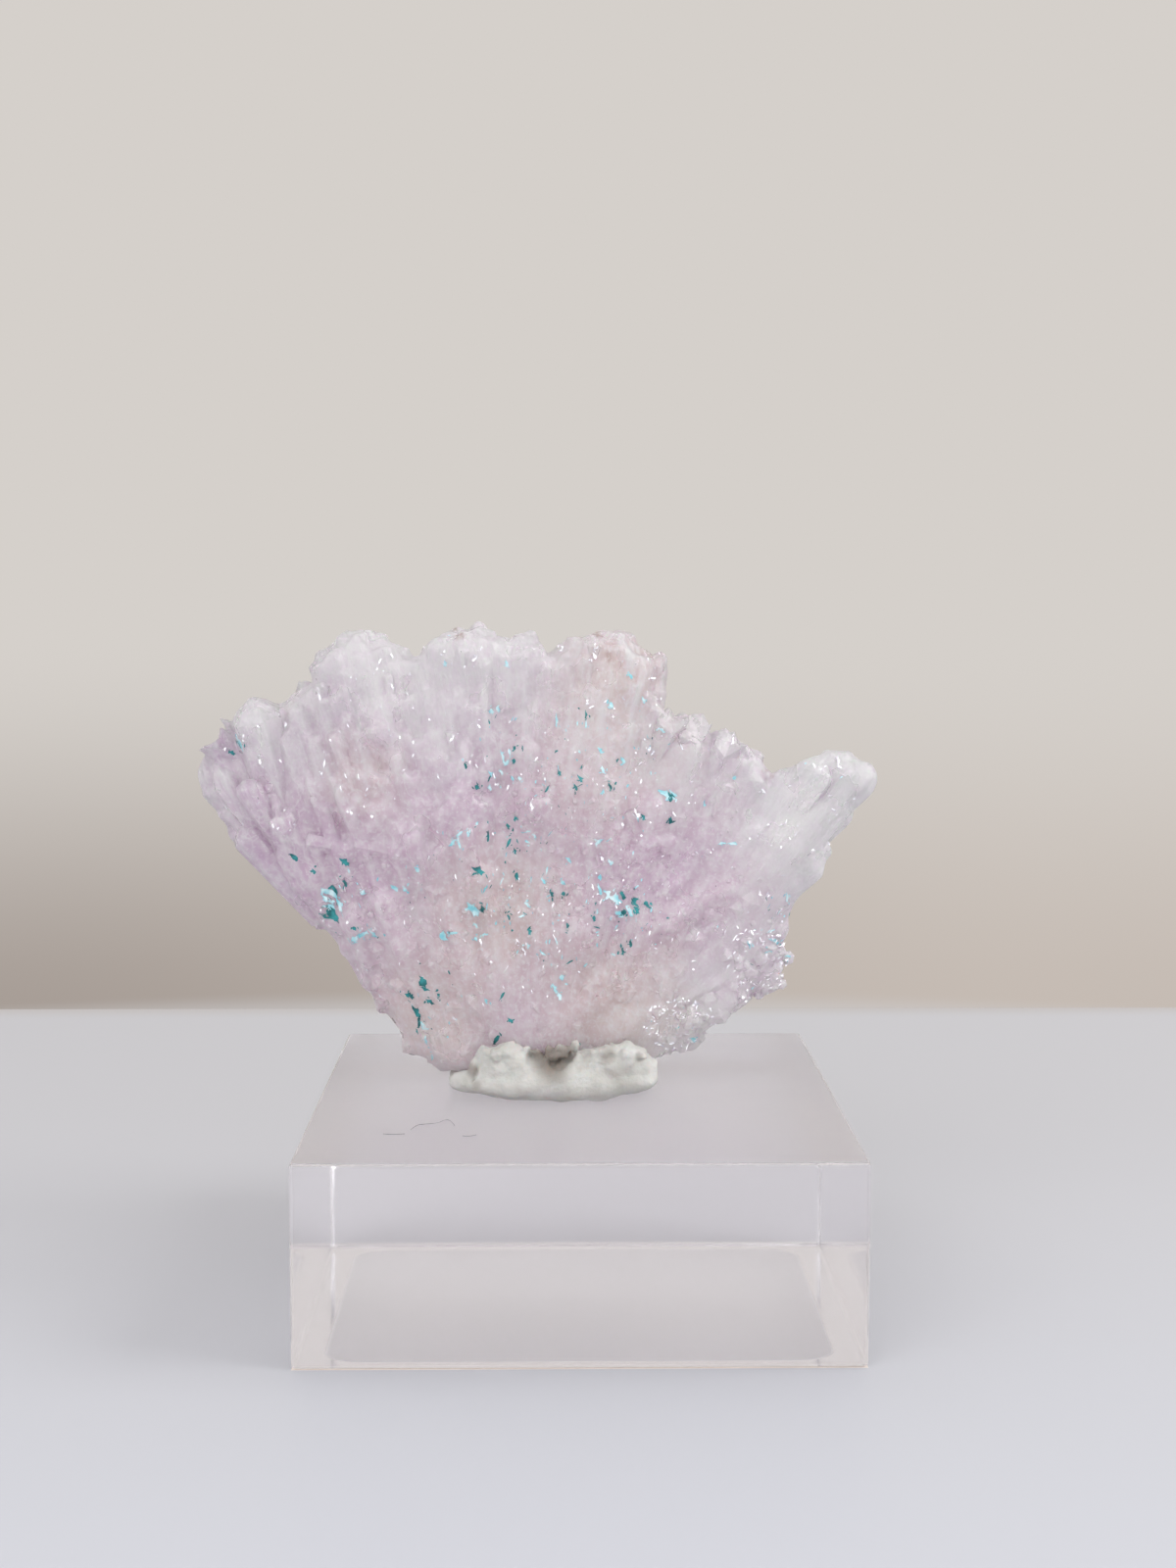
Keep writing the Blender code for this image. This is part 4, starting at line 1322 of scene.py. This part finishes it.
def amethyst_material():
    """Milky quartz: pale at the tips, lilac further in, with beige stains."""
    material, tree, shader = new_material("milky amethyst")
    place = node(tree, "ShaderNodeTexCoord").outputs["Object"]
    wander = node(tree, "ShaderNodeTexNoise", {"Vector": place, "Scale": 160.0, "Detail": 3.0})
    centred = node(
        tree, "ShaderNodeVectorMath", {0: wander.outputs["Color"], 1: (0.5, 0.5, 0.5)}, operation="SUBTRACT"
    )
    stray = node(tree, "ShaderNodeVectorMath", {0: centred.outputs[0]}, operation="SCALE")
    stray.inputs["Scale"].default_value = 9 * MM
    warped = node(
        tree, "ShaderNodeVectorMath", {0: place, 1: stray.outputs[0]}, operation="ADD"
    ).outputs[0]

    # Lilac grows paler with the distance from the growth centre
    from_centre = node(
        tree, "ShaderNodeVectorMath", {0: warped, 1: GROWTH_CENTRE}, operation="SUBTRACT"
    )
    reach = node(tree, "ShaderNodeVectorMath", {0: from_centre.outputs[0]}, operation="LENGTH")
    tips = node(
        tree,
        "ShaderNodeMapRange",
        {"Value": reach.outputs["Value"], "From Min": 34 * MM, "From Max": 58 * MM},
        interpolation_type="SMOOTHSTEP",
    )
    shade = mix_colour(tree, tips.outputs["Result"], LILAC, PALE)
    tints = ((MILK_WHITE_AND_PAINTED_LIGHT, MILK), (DEEP_LILAC, DEEP), (STAINED, BEIGE), (RUSTY, RUST))
    for patches, tint in tints:
        for across, down, radius, strength in patches:
            centre = pixel_at_depth(across, down, GROWTH_CENTRE.y)
            zone = node(
                tree,
                "ShaderNodeGroup",
                node_tree=ZONE,
            )
            tree.links.new(warped, zone.inputs["Vector"])
            zone.inputs["Centre"].default_value = centre
            zone.inputs["Inner"].default_value = 0.2 * radius * MM
            zone.inputs["Outer"].default_value = 1.5 * radius * MM
            strong = math_node(tree, "MULTIPLY", zone.outputs["Mask"], strength)
            shade = mix_colour(tree, strong, shade, tint)

    # White frost in streaks along the columns, and mottling in single grains
    flutes = node(tree, "ShaderNodeGroup", {"Vector": place}, node_tree=FLUTES).outputs[0]
    streaks = node(tree, "ShaderNodeTexNoise", {"Vector": flutes, "Scale": 620.0, "Detail": 4.0})
    frost = node(
        tree,
        "ShaderNodeMapRange",
        {"Value": streaks.outputs["Fac"], "From Min": 0.48, "From Max": 0.66, "To Max": 0.85},
    )
    streaky = node(
        tree, "ShaderNodeMapRange", {"Value": tips.outputs["Result"], "To Min": 0.35, "To Max": 1.0}
    ).outputs["Result"]
    frosted = math_node(tree, "MULTIPLY", frost.outputs["Result"], streaky)
    shade = mix_colour(tree, frosted, shade, MILK)
    mottle = node(tree, "ShaderNodeTexNoise", {"Vector": place, "Scale": 900.0, "Detail": 3.0})
    lift = node(
        tree,
        "ShaderNodeMapRange",
        {"Value": mottle.outputs["Fac"], "From Min": 0.4, "From Max": 0.75, "To Max": 0.65},
    )
    shade = mix_colour(tree, lift.outputs["Result"], shade, MILK)
    sugar = node(tree, "ShaderNodeTexNoise", {"Vector": place, "Scale": 2100.0, "Detail": 1.0})
    specks = node(
        tree,
        "ShaderNodeMapRange",
        {"Value": sugar.outputs["Fac"], "From Min": 0.56, "From Max": 0.7, "To Max": 0.6},
    )
    shade = mix_colour(tree, specks.outputs["Result"], shade, MILK)

    # Edges of grown-over crystals: a net of thin pale lines, faint and broken
    net = node(
        tree,
        "ShaderNodeTexVoronoi",
        {"Vector": warped, "Scale": 240.0},
        feature="DISTANCE_TO_EDGE",
    )
    line = node(
        tree,
        "ShaderNodeMapRange",
        {"Value": net.outputs["Distance"], "From Min": 0.06, "From Max": 0.0},
        interpolation_type="SMOOTHSTEP",
    )
    shown = node(
        tree,
        "ShaderNodeMapRange",
        {"Value": wander.outputs["Fac"], "From Min": 0.5, "From Max": 0.62, "To Max": 0.5},
    )
    crack = math_node(tree, "MULTIPLY", line.outputs["Result"], shown.outputs["Result"])
    shade = mix_colour(tree, crack, shade, MILK)
    tree.links.new(shade, shader.inputs["Base Color"])

    # Relief in three sizes: flutes, small tilted facets, sugary grain
    grain = node(tree, "ShaderNodeGroup", {"Vector": place}, node_tree=GRAIN)
    grain.inputs["Coarse"].default_value = 900.0
    grain.inputs["Fine"].default_value = 3200.0
    facets = node(tree, "ShaderNodeGroup", {"Vector": place}, node_tree=FACETS)
    facets.inputs["Scale"].default_value = 1000.0
    fluted = math_node(tree, "MULTIPLY", streaks.outputs["Fac"], streaky)
    heights = (
        (fluted, 0.9, 1.1 * MM),
        (facets.outputs["Height"], 0.2, 0.12 * MM),
        (sugar.outputs["Fac"], 0.4, 0.15 * MM),
        (crack, 0.3, 0.1 * MM),
        (mottle.outputs["Fac"], 0.4, 0.25 * MM),
        (grain.outputs["Height"], 0.35, 0.2 * MM),
    )
    normal = None
    for height, strength, distance in heights:
        bump = node(
            tree, "ShaderNodeBump", {"Strength": strength, "Distance": distance, "Height": height}
        )
        if normal:
            tree.links.new(normal, bump.inputs["Normal"])
        normal = bump.outputs["Normal"]
    tree.links.new(normal, shader.inputs["Normal"])
    rough = node(
        tree,
        "ShaderNodeMapRange",
        {"Value": wander.outputs["Fac"], "From Min": 0.3, "From Max": 0.7, "To Min": 0.22, "To Max": 0.4},
    )
    tree.links.new(rough.outputs["Result"], shader.inputs["Roughness"])
    shader.inputs["IOR"].default_value = 1.544
    shader.inputs["Transmission Weight"].default_value = 0.5
    shader.inputs["Subsurface Weight"].default_value = 0.8
    shader.inputs["Subsurface Radius"].default_value = (1.0, 0.85, 1.0)
    shader.inputs["Subsurface Scale"].default_value = 3 * MM
    inside = node(tree, "ShaderNodeVolumeAbsorption", {"Color": (0.90, 0.76, 0.88, 1), "Density": 14.0})
    output = tree.nodes["Material Output"]
    tree.links.new(inside.outputs["Volume"], output.inputs["Volume"])
    return material


TEAL_DARK = colour(16, 100, 104)
TEAL_MID = colour(52, 156, 160)
CYAN = colour(140, 212, 224)
CYAN_WHITE = colour(220, 246, 250)
# Near-white colours of the frosty chips, which are partly painted glints
FROST_GLINT_SHADE = colour(238, 238, 246)
FROST_GLINT_WHITE = colour(252, 252, 255)


def mineral_film(name, first, second, mirror=0.0):
    """A thin glossy film that turns from one colour to the other in patches."""
    material, tree, shader = new_material(name)
    shader.inputs["Metallic"].default_value = mirror
    place = node(tree, "ShaderNodeTexCoord").outputs["Object"]
    patches = node(tree, "ShaderNodeTexNoise", {"Vector": place, "Scale": 900.0, "Detail": 4.0})
    share = node(
        tree, "ShaderNodeMapRange", {"Value": patches.outputs["Fac"], "From Min": 0.38, "From Max": 0.62}
    )
    shade = mix_colour(tree, share.outputs["Result"], first, second)
    tree.links.new(shade, shader.inputs["Base Color"])
    rough = node(
        tree, "ShaderNodeMapRange", {"Value": patches.outputs["Fac"], "To Min": 0.15, "To Max": 0.5}
    )
    tree.links.new(rough.outputs["Result"], shader.inputs["Roughness"])
    grain = node(tree, "ShaderNodeGroup", {"Vector": place}, node_tree=GRAIN)
    bump = node(
        tree,
        "ShaderNodeBump",
        {"Strength": 0.4, "Distance": 0.08 * MM, "Height": grain.outputs["Height"]},
    )
    tree.links.new(bump.outputs["Normal"], shader.inputs["Normal"])
    return material


# Greyish painted shade, with some grime, in the putty's hollows: pixel, radius in mm, strength
PUTTY_HOLLOW_SHADE_AND_GRIME = (
    (563, 1082, 2.9, 1.0),
    (548, 1077, 1.4, 0.7),
    (578, 1076, 1.4, 0.8),
    (481, 1096, 0.9, 0.5),
    (486, 1108, 0.7, 0.4),
    (620, 1077, 1.2, 0.6),
    (481, 1096, 0.9, 0.5),
    (652, 1080, 0.6, 0.5),
)
PUTTY_FRONT = -8 * MM
HOLLOW_SHADE_AND_GRIME = colour(140, 132, 124)


def putty_material():
    material, tree, shader = new_material("pressed putty")
    place = node(tree, "ShaderNodeTexCoord").outputs["Object"]
    cloud = node(tree, "ShaderNodeTexNoise", {"Vector": place, "Scale": 260.0, "Detail": 5.0})
    share = node(
        tree, "ShaderNodeMapRange", {"Value": cloud.outputs["Fac"], "From Min": 0.35, "From Max": 0.7}
    )
    shade = mix_colour(tree, share.outputs["Result"], colour(190, 189, 183), colour(217, 217, 213))
    # Painted shade in the hollows, with some grime
    for across, down, radius, strength in PUTTY_HOLLOW_SHADE_AND_GRIME:
        zone = node(tree, "ShaderNodeGroup", {"Vector": place}, node_tree=ZONE)
        zone.inputs["Centre"].default_value = pixel_at_depth(across, down, PUTTY_FRONT)
        zone.inputs["Inner"].default_value = 0.3 * radius * MM
        zone.inputs["Outer"].default_value = 1.3 * radius * MM
        strong = math_node(tree, "MULTIPLY", zone.outputs["Mask"], strength)
        shade = mix_colour(tree, strong, shade, HOLLOW_SHADE_AND_GRIME)
    tree.links.new(shade, shader.inputs["Base Color"])
    grain = node(tree, "ShaderNodeGroup", {"Vector": place}, node_tree=GRAIN)
    bump = node(
        tree,
        "ShaderNodeBump",
        {"Strength": 0.8, "Distance": 0.45 * MM, "Height": grain.outputs["Height"]},
    )
    tree.links.new(bump.outputs["Normal"], shader.inputs["Normal"])
    shader.inputs["Roughness"].default_value = 0.62
    shader.inputs["Subsurface Weight"].default_value = 0.2
    shader.inputs["Subsurface Scale"].default_value = 0.6 * MM
    return material


# The middle of the block's underside is dull where it grips the table
DULL_HALF = 31.5 * MM
DULL_CORNER = 5 * MM
DULL_BLUR = 1.2 * MM
DULLNESS = 0.45


def acrylic_material():
    """Acrylic with a faint haze: clean sides, a dull top, a dull patch underneath."""
    material, tree, shader = new_material("polished acrylic")
    place = node(tree, "ShaderNodeTexCoord").outputs["Object"]
    axes = node(tree, "ShaderNodeSeparateXYZ", {0: place})
    haze = node(tree, "ShaderNodeTexNoise", {"Vector": place, "Scale": 90.0, "Detail": 4.0})
    wiped = node(
        tree,
        "ShaderNodeMapRange",
        {"Value": haze.outputs["Fac"], "From Min": 0.2, "From Max": 0.8, "To Min": 0.05, "To Max": 0.1},
    ).outputs["Result"]
    top = math_node(tree, "GREATER_THAN", axes.outputs["Z"], BLOCK_TOP - AIR_GAP)
    worn = math_node(tree, "MULTIPLY", top, 0.3)
    back = math_node(tree, "GREATER_THAN", axes.outputs["Y"], BLOCK_HALF - AIR_GAP)
    rubbed = math_node(tree, "ADD", worn, math_node(tree, "MULTIPLY", back, 0.12))
    rough = math_node(tree, "ADD", wiped, rubbed)
    beyond = []
    for axis in ("X", "Y"):
        away = math_node(tree, "ABSOLUTE", axes.outputs[axis])
        past = math_node(tree, "SUBTRACT", away, DULL_HALF - DULL_CORNER)
        beyond.append(math_node(tree, "MAXIMUM", past, 0.0))
    corner = node(tree, "ShaderNodeCombineXYZ", {0: beyond[0], 1: beyond[1]})
    far = node(tree, "ShaderNodeVectorMath", {0: corner.outputs[0]}, operation="LENGTH")
    patch = node(
        tree,
        "ShaderNodeMapRange",
        {
            "Value": far.outputs["Value"],
            "From Min": DULL_CORNER + DULL_BLUR / 2,
            "From Max": DULL_CORNER - DULL_BLUR / 2,
        },
        interpolation_type="SMOOTHSTEP",
    ).outputs["Result"]
    bottom = math_node(tree, "LESS_THAN", axes.outputs["Z"], AIR_GAP)
    dull = math_node(tree, "MULTIPLY", math_node(tree, "MULTIPLY", patch, bottom), DULLNESS)
    rough = math_node(tree, "MAXIMUM", rough, dull)
    tree.links.new(rough, shader.inputs["Roughness"])
    shader.inputs["Base Color"].default_value = (1, 0.98, 1, 1)
    shader.inputs["IOR"].default_value = 1.49
    shader.inputs["Transmission Weight"].default_value = 0.9
    inside = node(tree, "ShaderNodeVolumeAbsorption", {"Color": (0.9, 0.9, 0.95, 1), "Density": 2.0})
    tree.links.new(inside.outputs["Volume"], tree.nodes["Material Output"].inputs["Volume"])
    return material


# Fibres of lint that lie on the block's top: the pixels that each passes
LINT = (
    ((391, 1157), (399, 1158), (413, 1157)),
    ((419, 1153), (424, 1148), (434, 1147), (447, 1146), (455, 1142), (461, 1144), (464, 1149)),
    ((472, 1159), (479, 1160), (486, 1158)),
)
LINT_THICKNESS = 0.035 * MM


def place_on_top(across, down):
    """The point of the block's top that is seen at this pixel."""
    ray = pixel_ray(across, down)
    return CAMERA_PLACE + ray * ((BLOCK_TOP + LINT_THICKNESS - CAMERA_PLACE.z) / ray.z)


def make_lint():
    fibres = bpy.data.curves.new("lint", "CURVE")
    fibres.dimensions = "3D"
    fibres.bevel_depth = LINT_THICKNESS
    fibres.bevel_resolution = 1
    fibres.resolution_u = 6
    fibres.use_fill_caps = True
    for pixels in LINT:
        fibre = fibres.splines.new("NURBS")
        fibre.points.add(len(pixels) - 1)
        for point, pixel in zip(fibre.points, pixels):
            point.co = (*place_on_top(*pixel), 1)
        fibre.use_endpoint_u = True
        fibre.order_u = 3
    lint = bpy.data.objects.new("lint", fibres)
    bpy.context.scene.collection.objects.link(lint)
    only(lint)
    bpy.ops.object.convert(target="MESH")
    lint = bpy.context.active_object
    finish_with(lint, mineral_film("lint fibre", colour(120, 116, 120), colour(176, 172, 176)))
    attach(lint, "root")
    return lint


def dress_block():
    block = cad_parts["acrylic_block"]
    finish_with(block, acrylic_material())
    return block


# Camera, table, light


def make_camera():
    data = bpy.data.cameras.new("camera")
    data.sensor_fit = "VERTICAL"
    data.sensor_height = SENSOR_HEIGHT
    data.lens = LENS_PIXELS * SENSOR_HEIGHT / IMAGE_HEIGHT
    data.clip_start = 10 * MM
    data.clip_end = 10.0
    camera = bpy.data.objects.new("camera", data)
    turn = Matrix((CAMERA_RIGHT, CAMERA_UP, -CAMERA_FORWARD)).transposed().to_4x4()
    camera.matrix_world = Matrix.Translation(CAMERA_PLACE) @ turn
    bpy.context.scene.collection.objects.link(camera)
    bpy.context.scene.camera = camera


TABLE_EDGE = 175 * MM
TABLE_DEPTH = 1.1
TABLE_WIDTH = 2.4
TABLE_THICKNESS = 25 * MM
TABLE_BLUR = 14 * MM


def make_table():
    """A pale table top whose far edge lies just behind the block.

    Under the block it is painted lighter, painted light where the block would shade it, with a cream border
    round the dull patch."""
    bpy.ops.object.select_all(action="DESELECT")
    bpy.ops.mesh.primitive_cube_add(size=1)
    table = bpy.context.active_object
    table.name = "table"
    table.scale = (TABLE_WIDTH, TABLE_DEPTH, TABLE_THICKNESS)
    table.location = (0, TABLE_EDGE - TABLE_DEPTH / 2, -TABLE_THICKNESS / 2 - AIR_GAP)
    settle(table)
    edge = table.modifiers.new("round edge", "BEVEL")
    edge.width = 4 * MM
    edge.segments = 6
    apply_modifiers(table)
    bpy.ops.object.shade_smooth_by_angle(angle=math.radians(40))
    material, tree, shader = new_material("painted table")
    place = node(tree, "ShaderNodeTexCoord").outputs["Object"]
    along = node(tree, "ShaderNodeSeparateXYZ", {0: place})
    # Painted light: the top is darker towards the back and lighter and cooler towards the front, then it
    # darkens into the far edge
    near = node(
        tree,
        "ShaderNodeMapRange",
        {"Value": along.outputs["Y"], "From Min": 0.1, "From Max": -0.18},
        interpolation_type="SMOOTHSTEP",
    )
    shade = mix_colour(tree, near.outputs["Result"], colour(193, 193, 197), colour(203, 206, 214))
    edge = node(
        tree,
        "ShaderNodeMapRange",
        {"Value": along.outputs["Y"], "From Min": TABLE_EDGE - TABLE_BLUR, "From Max": TABLE_EDGE},
        interpolation_type="SMOOTHSTEP",
    )
    shade = mix_colour(tree, edge.outputs["Result"], shade, colour(184, 179, 177))
    # Painted light under the block: near white under the dull patch and cream round it, where the block would
    # shade the table
    painted_light_squares = ((BLOCK_HALF - AIR_GAP, colour(252, 240, 230)), (DULL_HALF, colour(253, 251, 255)))
    for half, tint in painted_light_squares:
        under = None
        for axis in ("X", "Y"):
            away = math_node(tree, "ABSOLUTE", along.outputs[axis])
            inside = math_node(tree, "LESS_THAN", away, half)
            under = math_node(tree, "MULTIPLY", inside, under) if under else inside
        shade = mix_colour(tree, under, shade, tint)
    tree.links.new(shade, shader.inputs["Base Color"])
    shader.inputs["Roughness"].default_value = 0.5
    table.data.materials.append(material)


WALL_TOP = colour(213, 208, 203)
WALL_SHADE_LOW_LEFT = colour(166, 156, 149)
WALL_SHADE_LOW_RIGHT = colour(197, 187, 179)
WALL_FOOT = colour(207, 206, 208)
ROOM = (0.90, 0.89, 0.895, 1.0)


def make_world():
    """A beige wall with painted shade, darker low down and most on the left, in a bright soft room."""
    world = bpy.data.worlds.new("room")
    bpy.context.scene.world = world
    world.use_nodes = True
    tree = world.node_tree
    backdrop = tree.nodes["Background"]
    way = node(tree, "ShaderNodeTexCoord").outputs["Generated"]
    axes = node(tree, "ShaderNodeSeparateXYZ", {0: way}).outputs

    def ramp(value, start, end):
        made = node(
            tree,
            "ShaderNodeMapRange",
            {"Value": value, "From Min": start, "From Max": end},
            interpolation_type="SMOOTHSTEP",
        )
        return made.outputs["Result"]

    # Painted shade: the wall darkens towards the bottom, more on the left than on the right
    low = mix_colour(tree, ramp(axes["X"], -0.3, 0.25), WALL_SHADE_LOW_LEFT, WALL_SHADE_LOW_RIGHT)
    wall = mix_colour(tree, ramp(axes["Z"], -0.215, -0.02), low, WALL_TOP)
    foot = math_node(tree, "MULTIPLY", ramp(axes["Z"], -0.199, -0.211), 0.5)
    wall = mix_colour(tree, foot, wall, WALL_FOOT)
    shade = mix_colour(tree, ramp(axes["Y"], 0.86, 0.3), wall, ROOM)
    tree.links.new(shade, backdrop.inputs["Color"])
    backdrop.inputs["Strength"].default_value = 1.0


def soft_light(name, place, target, size, watts, tint):
    """A large square light that looks at a point."""
    data = bpy.data.lights.new(name, "AREA")
    data.shape = "SQUARE"
    data.size = size
    data.energy = watts
    data.color = tint[:3]
    light = bpy.data.objects.new(name, data)
    aim = (Vector(target) - Vector(place)).to_track_quat("-Z", "Y").to_matrix().to_4x4()
    light.matrix_world = Matrix.Translation(place) @ aim
    bpy.context.scene.collection.objects.link(light)
    return light


def make_lights():
    middle = (0, 0, 50 * MM)
    soft_light("window", (0.95, -0.15, 0.75), middle, 0.7, 5.8, (1.0, 0.99, 0.98))
    soft_light("front fill", (-0.55, -0.85, 0.7), middle, 0.8, 3.4, (1.0, 0.99, 1.0))


def main():
    bpy.context.scene.view_settings.view_transform = "Standard"
    make_camera()
    make_table()
    make_world()
    make_lights()
    dress_block()
    make_lint()
    make_flecks(make_cluster())
    make_putty()


main()
